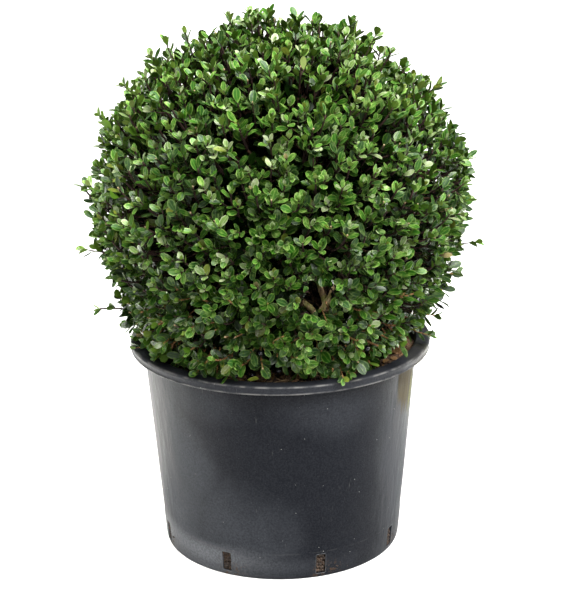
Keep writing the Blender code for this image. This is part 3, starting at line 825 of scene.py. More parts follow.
soil = {
    "top": 0.264,
    "relief": 0.007,
    "lumpScale": 28.0,
    "fineRelief": 0.0022,
    "fineScales": ((170.0, 0.3, 1.0), (420.0, 0.9, 0.6)),  # scale, shift, share
    "seatRadius": 0.034,
    "seatBlend": 0.03,
    # Earth is piled against the rim on the right, and is drawn lighter there
    "heap": (0.16, -0.02),
    "heapRadius": 0.038,
    "heapHeight": 0.018,
    "bottom": 0.0034,
    "gap": 0.0005,
    "lump": 0.0012,
    "rings": 46,
    "sideRings": 26,
    "segments": 150,
    "colours": ((0.012, 0.007, 0.004), (0.1, 0.053, 0.026), 95.0),  # dark, light, scale
    "heapTone": 3.2,
    "nearWall": 0.7,  # share of what lies on the soil that lies near the wall, where it shows
    "clearOfWall": 0.003,
    "seed": 5,
}


def heapShare(x, y):
    away = np.hypot(x - soil["heap"][0], y - soil["heap"][1])
    return np.exp(-(away / soil["heapRadius"]) ** 2)


def soilHeight(x, y):
    rough = noise.noise(Vector((x, y, 0.0)) * soil["lumpScale"] + Vector((0.0, 0.0, 1.7)))
    away = min(1.0, max(0.0, math.hypot(x, y) - soil["seatRadius"]) / soil["seatBlend"])
    fine = sum(share * noise.noise(Vector((x, y, shift)) * scale)
               for scale, shift, share in soil["fineScales"])
    relief = (soil["relief"] * rough + soil["fineRelief"] * fine) * away
    return soil["top"] + relief + soil["heapHeight"] * heapShare(x, y)


def soilBed(material):
    clear = pot["wall"] + soil["gap"]
    outer = wallRadius(soil["top"]) - clear
    turns = [fullTurn * k / soil["segments"] for k in range(soil["segments"])]
    rings = [[(0.0, 0.0, soil["top"])]]
    for i in range(1, soil["rings"] + 1):
        radius = outer * i / soil["rings"]
        flat = [(radius * math.sin(turn), radius * math.cos(turn)) for turn in turns]
        rings.append([(x, y, soilHeight(x, y)) for x, y in flat])
    for height in np.linspace(soil["top"] - 0.012, soil["bottom"], soil["sideRings"]):
        ring = []
        for turn in turns:
            lump = noise.noise(Vector((math.sin(turn), math.cos(turn), height * 6.0)) * 24.0)
            far = wallRadius(height) - clear - soil["lump"] * max(0.0, lump)
            ring.append((far * math.sin(turn), far * math.cos(turn), height))
        rings.append(ring)
    rings.append([(0.0, 0.0, soil["bottom"])])
    mesh = ringMesh("soil_bed", rings)
    mesh.shade_smooth()
    x, y, _ = np.array([vertex.co[:] for vertex in mesh.vertices]).T
    setTone(mesh, 1 + soil["heapTone"] * heapShare(x, y))
    finishPiece(addObject("soil_bed", mesh, material), "potting_soil", "potting_soil")


def soilPlaces(count, rng, nearWall=soil["nearWall"], reach=0.171):
    spread = np.where(rng.random(count) < nearWall, rng.uniform(0.6, 1.0, count), np.sqrt(rng.random(count)))
    radius = np.maximum(spread * reach, 0.03)
    turn = rng.uniform(0, fullTurn, count)
    x, y = radius * np.sin(turn), radius * np.cos(turn)
    return np.stack([x, y, [soilHeight(a, b) for a, b in zip(x, y)]], -1)


def flatHeading(turn, rise):
    return np.stack([np.cos(turn), np.sin(turn), rise], -1)


def insideWall(points):
    return (np.linalg.norm(points[..., :2], axis=-1) < boreRadius - soil["clearOfWall"]).all(axis=-1)


def tonesFor(places, shape, rng):
    return rng.uniform(*shape["tone"], len(places)) * (1 + shape["heapTone"] * heapShare(*places[:, :2].T))


def earthMaterial(name, dark, light, scale):
    material, tree = newMaterial(name)
    fine = useGroup(tree, mottle, scale * 6, 2.0, 4.0)
    base = mixColour(useGroup(tree, mottle, scale, 2.4) * fine, dark, light)
    setSurface(tree, toned(tree, base), fine.ramp(0.2, 0.8, 0.98, 0.75), fine, 0.6, 0.0008)
    return material


chips = {
    "count": 900,
    "size": (0.0016, 0.0062),
    "shape": (1.0, 0.55, 0.24),  # length, width and thickness to the size
    "unevenness": (0.7, 1.3),
    "lift": 0.0012,
    "colours": ((0.056, 0.029, 0.014), (0.3, 0.168, 0.078), 210.0),
    "tone": (0.35, 1.35),
    "heapTone": 3.0,
}


def barkChips(rng):
    chip = np.array([(x, y, z) for x in (-1, 1) for y in (-0.8, 0.9) for z in (-1, 1)], float)
    chip[chip[:, 0] > 0, 1:] *= 0.55
    chipFaces = np.array([(0, 1, 3), (0, 3, 2), (4, 6, 7), (4, 7, 5), (0, 4, 5), (0, 5, 1),
                          (2, 3, 7), (2, 7, 6), (0, 2, 6), (0, 6, 4), (1, 5, 7), (1, 7, 3)])
    places = soilPlaces(chips["count"], rng)
    sizes = rng.uniform(*chips["size"], (len(places), 1)) * np.array(chips["shape"])
    sizes *= rng.uniform(*chips["unevenness"], sizes.shape)
    places[:, 2] += chips["lift"]
    solids = scatteredSolids(chip, chipFaces, places, sizes, rng)
    tones = tonesFor(places, chips, rng)
    material = earthMaterial("bark_chip", *chips["colours"])
    trianglePiece("bark_chips", *solids, material, "potting_soil", tones=tones, smooth=False)


crumbs = {
    "count": 1500,
    "size": (0.0006, 0.0024),
    "unevenness": (0.7, 1.2),
    "colours": ((0.022, 0.012, 0.007), (0.15, 0.082, 0.04), 260.0),
    "tone": (0.5, 1.5),
    "heapTone": 4.0,
    # In each drain slot, and washed out of it
    "inSlot": 46,
    "slotSize": (0.0011, 0.0023),
    "slotTone": (0.22, 0.75),
    "washedOut": 20,
    "washedSize": (0.0003, 0.0009),
    "washedLevels": (0.0045, 0.02),
    "washedAside": (0.0075, 0.012),  # nearest to the slot's middle, and spread
}


def soilCrumbs(rng):
    places = soilPlaces(crumbs["count"], rng)
    count = len(places)
    sizes = rng.uniform(*crumbs["size"], (count, 1)) * rng.uniform(*crumbs["unevenness"], (count, 3))
    slotPlaces, slotSizes = slotCrumbs(rng)
    every = np.concatenate([places, slotPlaces])
    solids = scatteredSolids(*roundTemplate(1), every, np.concatenate([sizes, slotSizes]), rng)
    tones = tonesFor(places, crumbs, rng)
    tones = np.concatenate([tones, rng.uniform(*crumbs["slotTone"], len(slotPlaces))])
    material = earthMaterial("soil_crumb", *crumbs["colours"])
    trianglePiece("soil_crumbs", *solids, material, "potting_soil", tones=tones)


def slotCrumbs(rng):  # earth in the drain slots, and a few crumbs washed out low to the right of each
    places, sizes = [], []
    for index in range(pot["slots"]):
        for _ in range(crumbs["inSlot"]):
            z = rng.uniform(pot["slotLow"] + 0.001, pot["slotHigh"] - 0.001)
            across = rng.uniform(-0.45, 0.45) * pot["slotWidth"]
            size = rng.uniform(*crumbs["slotSize"])
            depth = wallRadius(z) - pot["wall"] + rng.uniform(0.0002, 0.0018)
            places.append(aroundPot(depth, slotAngle(index) + across / depth, z))
            sizes.append([size, size * rng.uniform(0.6, 1.0), size * rng.uniform(0.6, 1.0)])
        for _ in range(crumbs["washedOut"]):
            z = rng.uniform(*crumbs["washedLevels"])
            depth = wallRadius(z) + pot["footStep"]
            least, spread = crumbs["washedAside"]
            aside = least + abs(rng.normal(0, spread))
            places.append(aroundPot(depth, slotAngle(index) + aside / depth, z))
            sizes.append([rng.uniform(*crumbs["washedSize"])] * 3)
    return np.array(places), np.array(sizes)


litter = {
    "count": 330,
    "nearWall": 0.85,
    "reach": 0.172,
    "lift": (0.002, 0.006),
    "steepness": 0.28,
    "tilt": 0.35,
    "size": (0.55, 1.0),
    "brownShare": 0.55,
    "tone": (0.5, 1.3),
    # Upper side, wax bloom with painted sheen, bloom share, underside, sheen
    "dry_brown": ((0.085, 0.044, 0.02), (0.17, 0.1, 0.05), 0.4, (0.11, 0.064, 0.03), 0.2),
    "dry_gold": ((0.13, 0.072, 0.028), (0.24, 0.15, 0.068), 0.4, (0.15, 0.088, 0.038), 0.2),
    "lime": ((0.21, 0.26, 0.03), (0.33, 0.37, 0.09), 0.3, (0.21, 0.25, 0.04), 0.4),
}


def fallenLeaves(rng):
    places = soilPlaces(litter["count"], rng, litter["nearWall"], litter["reach"])
    count = len(places)
    places[:, 2] += rng.uniform(*litter["lift"], count)
    turn = rng.uniform(0, fullTurn, count)
    along = asUnit(flatHeading(turn, rng.normal(0, litter["steepness"], count)))
    normal = rng.normal(0, litter["tilt"], places.shape) + upward(1.0)
    corners = leafCorners(places, along, normal, rng.uniform(*litter["size"], count), rng)
    inside = insideWall(corners)
    pick = rng.random(count) < litter["brownShare"]
    for name, chosen in (("dry_brown", pick & inside), ("dry_gold", ~pick & inside)):
        tones = rng.uniform(*litter["tone"], int(chosen.sum()))
        leafPiece("fallen_" + name, corners[chosen], tones, leafMaterial(name, *litter[name]))
    # The yellow-green leaf that lies against the rim in front
    fallen = leafCorners(np.array([(-0.042, -0.1655, 0.282)]), np.array([(0.97, -0.12, 0.1)]),
                         np.array([(0.0, -0.35, 0.95)]), np.array([0.85]), rng)
    leafPiece("fallen_lime", fallen, np.ones(1), leafMaterial("fallen_lime", *litter["lime"]))


dryTwigs = {
    "count": 130,
    "nearWall": 0.85,
    "reach": 0.166,
    "length": (0.008, 0.034),
    "steepness": 0.1,
    "lift": (0.0015, 0.003),  # of the first and the last end
    "crookedness": 0.0015,
    "steps": 5,
    "radius": (0.0005, 0.0013),
    "sides": 5,
    "colours": ((0.14, 0.085, 0.04), (0.56, 0.4, 0.22), 300.0),
    "tone": (0.5, 1.2),
}


def fallenTwigs(rng):
    starts = soilPlaces(dryTwigs["count"], rng, dryTwigs["nearWall"], dryTwigs["reach"])
    count, steps = len(starts), dryTwigs["steps"]
    turn = rng.uniform(0, fullTurn, count)
    length = rng.uniform(*dryTwigs["length"], (count, 1))
    ends = starts + flatHeading(turn, rng.normal(0, dryTwigs["steepness"], count)) * length
    for points, lift in zip((starts, ends), dryTwigs["lift"]):
        points[:, 2] += lift
    middles = (starts + ends) / 2 + rng.normal(0, dryTwigs["crookedness"], starts.shape)
    paths = curvedPaths(starts, middles, ends, steps)
    inside = insideWall(paths)
    radii = np.repeat(rng.uniform(*dryTwigs["radius"], (count, 1)), steps, axis=1)
    tubes = tubeArrays(paths[inside], radii[inside], dryTwigs["sides"])
    tones = rng.uniform(*dryTwigs["tone"], int(inside.sum()))
    material = earthMaterial("twig_dry", *dryTwigs["colours"])
    trianglePiece("fallen_twigs", *tubes, material, "potting_soil", tones=tones)


soilBed(earthMaterial("soil_dark", *soil["colours"]))
soilRng = np.random.default_rng(soil["seed"])
for makeCover in (barkChips, soilCrumbs, fallenLeaves, fallenTwigs):
    makeCover(soilRng)
print("soil made")


# Bark of the trunk, the leader, the boughs and the fork's side limbs

limb = {
    "gap": 0.0003,
    "trunkRadii": (0.0135, 0.0105),
    "trunkHeight": 0.052,
    "trunkLean": np.array((0.01, -0.006, 0.0)),
    "leanCurve": 1.6,
    "flare": 0.55,
    "flareHeight": 0.012,
    "lobes": 5,
    "lobeDepth": 0.14,
    "boughRadii": (0.0062, 0.0038),
    "boughFirst": math.radians(-56),
    "boughCount": 6,
    "lowBough": (0.018, math.radians(6)),  # start up the trunk, rise
    "highBough": (0.033, math.radians(40)),
    "bulge": 0.018,
    "sag": 0.032,
    "hollowCentre": upward(0.37),
    "hollowRadius": 0.125,
    "leaderRadii": (0.0072, 0.005),
    "leaderTop": 0.462,
    "stemTip": np.array((0.004, 0.002, 0.62)),
    "sideRadii": (0.0042, 0.003),
    "forkShare": 0.62,
    "forkPoint": np.array((0.051, -0.085, 0.3415)),
    "forkRight": np.array((0.0725, -0.108, 0.39)),
    # Side limbs: where they leave the front bough, counted along its 40 points, and their tips
    "sideLimbs": ((29, np.array((0.044, -0.1, 0.408))), (23, np.array((0.014, -0.122, 0.384)))),
    "sides": 20,
    "ringGap": 0.0016,
    "relief": 0.0006,
}
trunkFoot = soil["top"] + limb["gap"]


def trunkAxis(height):
    share = height / limb["trunkHeight"]
    return upward(trunkFoot + height) + limb["trunkLean"] * share ** limb["leanCurve"]


def boughPath(index):
    height, rise = limb["highBough" if index % 2 else "lowBough"]
    start = trunkAxis(height)
    turn = limb["boughFirst"] + index * fullTurn / limb["boughCount"]
    outward = np.array((math.cos(turn), math.sin(turn), 0.0))
    heading = outward * math.cos(rise) + upward(math.sin(rise))
    end = limb["hollowCentre"] + heading * (limb["hollowRadius"] + 0.008)
    control = (start + end) / 2 + outward * limb["bulge"] - upward(limb["sag"])
    if index == 0:  # the front bough passes through the fork
        t, end = limb["forkShare"], limb["forkRight"]
        control = (limb["forkPoint"] - start * (1 - t) ** 2 - end * t * t) / (2 * t * (1 - t))
    return bend(start, control, end)


def leaderPath():
    top, tip = trunkAxis(limb["trunkHeight"]), upward(limb["leaderTop"])
    return bend(top - upward(0.004), upward((top[2] + tip[2]) / 2), tip)


def reliefTube(path, radii, seed, lobed=False):  # a limb with fissures and ridges, as points and triangles
    sides = limb["sides"]
    length = np.linalg.norm(np.diff(path, axis=0), axis=1).sum()
    steps = max(8, int(length / limb["ringGap"]))
    at = np.linspace(0, len(path) - 1, steps)
    fine = np.stack([np.interp(at, np.arange(len(path)), path[:, k]) for k in range(3)], -1)
    size = np.interp(at, np.arange(len(path)), radii)
    points, faces = tubeArrays(fine[None], size[None], sides)
    grid = points.reshape(steps, sides, 3)
    for i in range(steps):
        depth = limb["lobeDepth"] * math.exp(-(fine[i][2] - fine[0][2]) / limb["flareHeight"])
        for k in range(sides):
            out = grid[i, k] - fine[i]
            turn = fullTurn * k / sides
            spot = Vector((math.cos(turn) * 1.6, math.sin(turn) * 1.6, at[i] * 0.16 + seed))
            fissures = noise.noise(Vector((spot.x * 6, spot.y * 6, spot.z * 3)))
            push = noise.noise(spot * 2.2) * 1.1 + 0.5 * fissures
            scale = 1 + limb["relief"] / max(size[i], 0.004) * push
            if lobed:
                scale *= 1 + depth * math.cos(limb["lobes"] * math.atan2(out[1], out[0]))
            grid[i, k] = fine[i] + out * scale
    if lobed:
        grid[0, :, 2] = trunkFoot
    return grid.reshape(-1, 3), faces


barkColours = {  # dark, light, algae, algae share
    # the limbs' tan bark is drawn lighter, a painted light where they lie in the crown's shade
    "limbs": ((0.1, 0.064, 0.032), (0.42, 0.3, 0.16), (0.2, 0.205, 0.052), 0.78),
    "shoot": ((0.011, 0.006, 0.005), (0.042, 0.022, 0.017), (0.046, 0.038, 0.013), 0.1),
    "low": ((0.06, 0.028, 0.012), (0.28, 0.15, 0.062), (0.2, 0.195, 0.045), 0.45),
    # inner twigs are near black, a painted shade inside the crown
    "inner": ((0.01, 0.006, 0.004), (0.07, 0.038, 0.02), (0.045, 0.045, 0.012), 0.35),
    "cut": ((0.17, 0.12, 0.06), (0.34, 0.26, 0.15), (0.26, 0.22, 0.11), 0.2),
    "stalk": ((0.05, 0.045, 0.015), (0.15, 0.14, 0.05), (0.1, 0.12, 0.03), 0.4),
}


def barkMaterial(name, kind, scale=300.0, strength=0.4, distance=0.0004, specular=0.16):
    material, tree = newMaterial(name)
    skin = useGroup(tree, bark, *barkColours[kind], scale)
    setSurface(tree, skin, skin.beside("Roughness"), skin.beside("Height"), strength, distance, specular)
    return material


def barkLimbs():
    material = barkMaterial("bark_grey_brown", "limbs", 230.0, 0.7, 0.0012, 0.5)
    heights = limb["trunkHeight"] * np.linspace(0, 1, 40)
    radii = np.linspace(*limb["trunkRadii"], 40)
    radii = radii * (1 + limb["flare"] * np.exp(-heights / limb["flareHeight"]))
    trunk = reliefTube(np.array([trunkAxis(height) for height in heights]), radii, 0.0, lobed=True)
    trianglePiece("bark_trunk", *trunk, material, "bark", "trunk")
    limbs = [(boughPath(index), "boughRadii") for index in range(limb["boughCount"])]
    front = limbs[0][0]
    for at, tip in limb["sideLimbs"]:
        middle = (front[at] + tip) / 2 + np.array((0.0, 0.006, 0.0))
        limbs.append((bend(front[at], middle, tip), "sideRadii"))
    limbs.append((leaderPath(), "leaderRadii"))
    parts = [reliefTube(path, np.linspace(*limb[key], len(path)), 3.0 * (i + 1))
             for i, (path, key) in enumerate(limbs)]
    names = [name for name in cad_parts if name.startswith(("bough_", "side_limb_"))]
    trianglePiece("bark_boughs", *joinArrays(parts), material, "bark", "leader", *names)
    return [path for path, key in limbs]


boughPaths = barkLimbs()
print("bark made")


# The crown grows on from the limbs by the source's rule: even forks inside the ball, each shoot from its
# nearest fork, and leaves set round it. Here the twigs go finer and each shoot has side twigs of its own.

crown = {
    "centre": np.array((0.002, 0.0, 0.463)),
    "coreRadius": 0.212,
    "footRadius": 0.23,
    "footStart": 0.35,
    "footEnd": 0.8,
    "lumps": 0.012,
    "lumpScale": 17.0,
    # Where the shears left the ball fuller or flatter: direction, amount, sharpness
    "swells": (
        ((0.97, 0.0, 0.12), 0.012, 7), ((0.9, 0.0, -0.44), -0.015, 8), ((-0.9, 0.0, -0.44), -0.007, 8),
        ((-0.52, 0.0, 0.85), -0.003, 8), ((0.77, 0.0, 0.64), -0.005, 9), ((0.17, 0.0, 0.98), 0.006, 30),
        ((-0.98, 0.0, 0.17), 0.009, 30), ((-0.87, 0.0, 0.5), 0.004, 12)),
    "forks": 60,
    "forkDepth": 0.055,
    "shoots": 1350,
    "reach": 0.024,
    "reachSpread": 0.0055,
    "length": (0.044, 0.07),
    "innerShoots": 2000,
    "innerDepth": (0.01, 0.08),
    "innerLength": (0.03, 0.046),
    "lean": 0.3,
    "sideTwigs": (0, 1, 1, 2),
    "sideLength": (0.016, 0.03),
    "foot": 0.281,
    # Turns of the crown where the shoots stay higher and the soil shows: middle, half width, height
    "soilShows": ((math.radians(-95), math.radians(13), 0.297), (math.radians(-20), math.radians(20), 0.318)),
    "turn": math.radians(137.5),
    # Dark hollows: place and reach
    "hollows": (
        ((-0.065, -0.086, 0.674), 0.014), ((-0.028, -0.195, 0.596), 0.016), ((-0.031, -0.231, 0.508), 0.018),
        ((-0.092, -0.215, 0.505), 0.013), ((0.027, -0.231, 0.514), 0.013), ((-0.055, -0.23, 0.479), 0.013),
        ((0.068, -0.228, 0.48), 0.013), ((0.04, -0.235, 0.456), 0.013), ((0.027, -0.151, 0.641), 0.011)),
    # Openings before the fork: place, how near a shoot and how near a leaf may come
    "windows": (((0.0465, -0.2265, 0.4135), 0.015, 0.0125), ((0.037, -0.225, 0.401), 0.0095, 0.008)),
    "thickness": (0.00105, 0.0015),
    "youngShare": 0.56,  # of the outer shoots, those with a young tip
    "clippedShare": 0.25,  # of the others, those with a cut end
    "seed": 27,
}

spray = {
    "first": (0.0003, 0.001),  # from the tip to the first leaf
    "apart": (0.001, 0.0019),
    "widening": 0.00062,  # how much further apart each leaf stands than the one before it
    "starShare": 0.35,  # of young tips, those whose first leaves are crowded and spread wide
    "oldShare": 0.55,  # of older leaves, those in the spray's darker colour
    "oddShare": 0.018,  # olive or tan leaves
    "bareShare": 0.35,  # of older leaves, those that have dropped
    "tone": (0.6, 1.4),
    "palest": 1.15,  # the most that lime and bright leaves are lightened
    "sizes": (0.48, 0.64, 0.84, 0.96, 1.0),  # from a shoot's tip downwards
    "sizeSpread": (0.84, 1.12),
    "leans": (14, 22, 29, 34, 38, 43, 47),  # degrees off the shoot, from its tip downwards
    "leanSpread": 8,
    "starLean": 12,
}

chance = random.Random(crown["seed"])
# What grows is gathered here and joined into pieces at the end
grown = {key: [] for key in ("shoot", "low", "inner", "leaves", "cuts", "axils")}


def evenDirections(count):
    i = np.arange(count)
    z = 1 - 2 * (i + 0.5) / count
    ring = np.sqrt(1 - z * z)
    return np.stack([ring * np.cos(goldenAngle * i), ring * np.sin(goldenAngle * i), z], -1)


def surfaceRadius(direction):
    core, start = crown["coreRadius"], crown["footStart"]
    low = clamped((-direction[2] - start) / (crown["footEnd"] - start))
    widened = core + (crown["footRadius"] - core) * low
    swell = sum(amount * max(0.0, float(np.dot(direction, toward))) ** sharp
                for toward, amount, sharp in crown["swells"])
    spot = Vector(direction) * core * crown["lumpScale"] + Vector((3.1, 0.4, 2.2))
    return widened + swell + crown["lumps"] * noise.noise(spot)


def forkPoints():
    points = []
    for direction in evenDirections(crown["forks"]):
        point = crown["centre"] + direction * (surfaceRadius(direction) - crown["forkDepth"])
        inHollow = np.linalg.norm(point - limb["hollowCentre"]) < limb["hollowRadius"] - 0.02
        if point[2] > crown["foot"] and not inHollow:
            points.append(point)
    return np.array(points)


def addTwig(kind, path, first, last):
    grown[kind].append((path, np.linspace(first, last, len(path))))


def anyVector(size=1.0):
    return np.array([chance.gauss(0, size) for _ in range(3)])


def climbing(direction, strength=1.0):  # outward and up, and flatter low on the ball
    rise = clamped((direction[2] + 1.05) / 0.9, 0.22)
    lean = np.array([chance.uniform(-1, 1) for _ in range(3)]) * crown["lean"]
    return asUnit(direction * 0.85 + upward(strength * rise) + lean)


def sprayColours(place, inner):  # of a spray's old and middle leaves
    # Inner sprays take near-black colours, a painted shade; outer ones are darker low on the ball and lighter
    # high up, a painted shade and light
    if inner:
        return chance.choice(("inner", "shade")), chance.choice(("inner", "shade"))
    high = clamped((place[2] - 0.3) / 0.38)
    cool = 0.7 + (1 - high) * (1.6 if place[0] > 0.03 else 0.5)
    old = chance.choices(("deep", "dark", "blue", "mid"), (1.3 - high, 2.2 - high, cool, 0.9 + 1.2 * high))
    weights = (1.1 - 0.6 * high, cool, 2.2, 0.5 + 1.5 * high)
    return old[0], chance.choices(("dark", "blue", "mid", "fresh"), weights)[0]


def leafyAxis(path, count, young, colours, reachBack, bigness=1.0, start=0.0, bare=None, shade=1.0):
    # Leaves set round a path from its tip downwards, small and bright at a young tip
    old, middle = colours
    bareShare = spray["bareShare"] if bare is None else bare
    lengths = np.concatenate([[0.0], np.cumsum(np.linalg.norm(np.diff(path, axis=0), axis=1))])
    total = lengths[-1]
    phase = chance.uniform(0, fullTurn)
    high = clamped((path[-1][2] - 0.29) / 0.3, 0.22, 1.25)
    star = young and chance.random() < spray["starShare"] * high
    back = start + chance.uniform(*spray["first"])
    for k in range(count):
        if back > min(total * 0.97, reachBack):
            return
        at = total - back
        point, ahead, behind = (np.array([np.interp(d, lengths, path[:, c]) for c in range(3)])
                                for d in (at, min(total, at + 0.004), max(0.0, at - 0.004)))
        axis = asUnit(ahead - behind)
        age = k if young else k + 4
        size = spray["sizes"][min(age, 4)] * chance.uniform(*spray["sizeSpread"])
        lean = spray["leans"][min(age, 6)] * (1.06 - 0.14 * high)
        aside = chance.uniform(-spray["leanSpread"], spray["leanSpread"])
        spread = math.radians(lean + aside + (spray["starLean"] if star else 0))
        if age <= (3 if star else 1):
            weights = ((1.0 if star else 0.38) * high, 1.6 * high, 1.3)
            colour = chance.choices(("lime", "bright", "fresh"), weights)[0]
        elif age <= 4 and young:
            colour = chance.choices(("bright", "fresh", middle), (0.35 * high, 0.9 * high, 2.2))[0]
        else:
            colour = old if chance.random() < spray["oldShare"] else middle
        if chance.random() < spray["oddShare"]:
            colour = chance.choices(("olive", "tan"), (9, 1))[0]
        turn = phase + crown["turn"] * k + chance.uniform(-0.3, 0.3)
        if age < 5 or chance.random() > bareShare:
            # Tone: at random, lighter high on the ball and darker low down as painted light and shade, and
            # darker for older leaves further back, partly age and partly painted shade
            ageAndShadeTone = (1.0, 0.65 + 0.16 * high, 0.31 + 0.18 * high)[min(age // 4, 2)]
            tone = chance.uniform(*spray["tone"]) * shade * (0.57 + 0.435 * high) * ageAndShadeTone
            tone = min(tone, spray["palest"]) if colour in ("lime", "bright") else tone
            grown["leaves"].append((point, axis, turn, spread, size * bigness, colour, tone))
        if age > 4:
            grown["axils"].append((point, axis))
        crowded = 0.6 if star and k < 4 else 1.0
        back += chance.uniform(*spray["apart"]) * crowded + spray["widening"] * min(k, 8)


def shootPath(tip, heading, radial, length, steps=8):
    s = np.linspace(length, 0, steps)[:, None]
    return tip - heading * s + (heading - radial) * s * s / (2 * length)


def besideLine(places, point, radius):  # True near the eye's line through a point, with a ragged edge
    toEye = asUnit(np.array(view["position"]) - point)
    right = asUnit(np.cross(upward(1.0), toEye))
    offset = places - point
    x, y = offset @ right, offset @ np.cross(toEye, right)
    angle = np.arctan2(y, x)
    ragged = 1 + 0.28 * np.sin(3 * angle + 1.1) + 0.2 * np.sin(5 * angle + point[0] * 90)
    return (np.hypot(x, y) < radius * ragged) & (offset @ toEye > -0.15)


def leftOut(tip, base):  # shoots that would close the fork's window or one of the dark hollows
    ends = np.array([tip, base])
    if any(besideLine(ends, np.array(place), far).any() for place, far, near in crown["windows"]):
        return True
    return any(np.linalg.norm(tip - np.array(place)) < reach * chance.uniform(0.7, 1.3)
               for place, reach in crown["hollows"])


def growShoot(direction, forks, inner):
    if inner:
        reach = -chance.uniform(*crown["innerDepth"])
        length = chance.uniform(*crown["innerLength"])
    else:
        reach = crown["reach"] + chance.gauss(0, 1) * crown["reachSpread"]
        length = chance.uniform(*crown["length"])
    direction = asUnit(direction + anyVector(0.025))
    tip = crown["centre"] + direction * (surfaceRadius(direction) + reach)
    around = math.atan2(tip[1], tip[0])
    lowest = [level for middle, half, level in crown["soilShows"] if abs(around - middle) < half]
    if tip[2] < max([soil["top"] + 0.016, *lowest]):
        return
    path = shootPath(tip, climbing(direction, 0.6 if inner else 1.0), direction, length, 5 if inner else 8)
    if leftOut(tip, path[0]):
        return
    thick = chance.uniform(*crown["thickness"])
    young = not inner and chance.random() < crown["youngShare"]
    clipped = not young and not inner and chance.random() < crown["clippedShare"]
    colours = sprayColours(tip, inner)
    low = clamped((0.42 - tip[2]) / 0.12)
    kind = "inner" if inner else "low" if chance.random() < low else "shoot"
    addTwig(kind, path, thick * 1.35, thick * 0.85)
    bigness = 0.96 + 0.16 * low + (0.07 if inner else 0.0)
    count = 8 if inner else chance.choice((9, 10, 11, 12, 13, 14))
    start = chance.uniform(0.002, 0.005) if clipped else 0.0
    bare, shade = (0.0, 0.8) if inner else (None, 1.0)
    leafyAxis(path, count, young, colours, length * 0.92, bigness, start, bare, shade)
    fork = nearest(forks, path[0])
    gap = np.linalg.norm(fork - path[0])
    branch = bend(fork, path[0] - direction * gap * 0.55, path[0], 4 if inner else 6)
    addTwig("inner", branch, thick * 1.7, thick * 1.3)
    if clipped:
        grown["cuts"].append((path[-1], asUnit(path[-1] - path[-2]), thick))
    if not inner:
        for _ in range(chance.choice(crown["sideTwigs"])):
            growSide(path, colours, thick, bigness, kind)


def growSide(path, colours, thick, bigness, kind):  # a short side twig that turns up beside its shoot
    at = int(chance.uniform(0.25, 0.8) * (len(path) - 2))
    start = path[at] + (path[at + 1] - path[at]) * chance.random()
    axis = asUnit(path[at + 1] - path[at])
    across = asUnit(np.cross(axis, anyVector()))
    length = chance.uniform(*crown["sideLength"])
    control = start + (axis * 0.45 + across * 0.75) * length * 0.5
    end = start + (axis * 0.78 + across * 0.62) * length
    out = end - crown["centre"]
    far = np.linalg.norm(out)
    limit = surfaceRadius(out / far) + crown["reach"] + chance.uniform(-0.003, 0.007)
    if far > limit:
        end = crown["centre"] + out / far * limit
    side = bend(start, control, end, 6)
    addTwig(kind, side, thick * 0.9, thick * 0.6)
    leafyAxis(side, chance.choice((7, 8, 9)), chance.random() < 0.7, colours, length * 0.92, bigness * 0.95)


def growBranches(forks):  # from the boughs' tips and up the middle stem out to the forks
    top, tip = boughPaths[-1][-1], limb["stemTip"]
    stem = bend(top, (top + tip) / 2 + np.array((-0.006, 0.004, 0.0)), tip, 12)
    addTwig("inner", stem, limb["leaderRadii"][1], 0.0022)
    joints = [path[-1] for path in boughPaths[:-1]] + [*stem[1::2]]
    for path in boughPaths[:-1]:
        heading = asUnit(path[-1] - path[-4])
        outer = path[-1] + heading * 0.045 + upward(0.012)
        addTwig("inner", bend(path[-1], path[-1] + heading * 0.024, outer, 8), 0.0036, 0.0021)
        joints.append(outer)
    joints = np.array(joints)
    for fork in forks:
        joint = nearest(joints, fork)
        reach = np.linalg.norm(fork - joint)
        control = fork - asUnit(fork - crown["centre"]) * reach * 0.45 + anyVector(reach * 0.1)
        addTwig("inner", bend(joint, control, fork, 10), 0.0021, 0.0014)


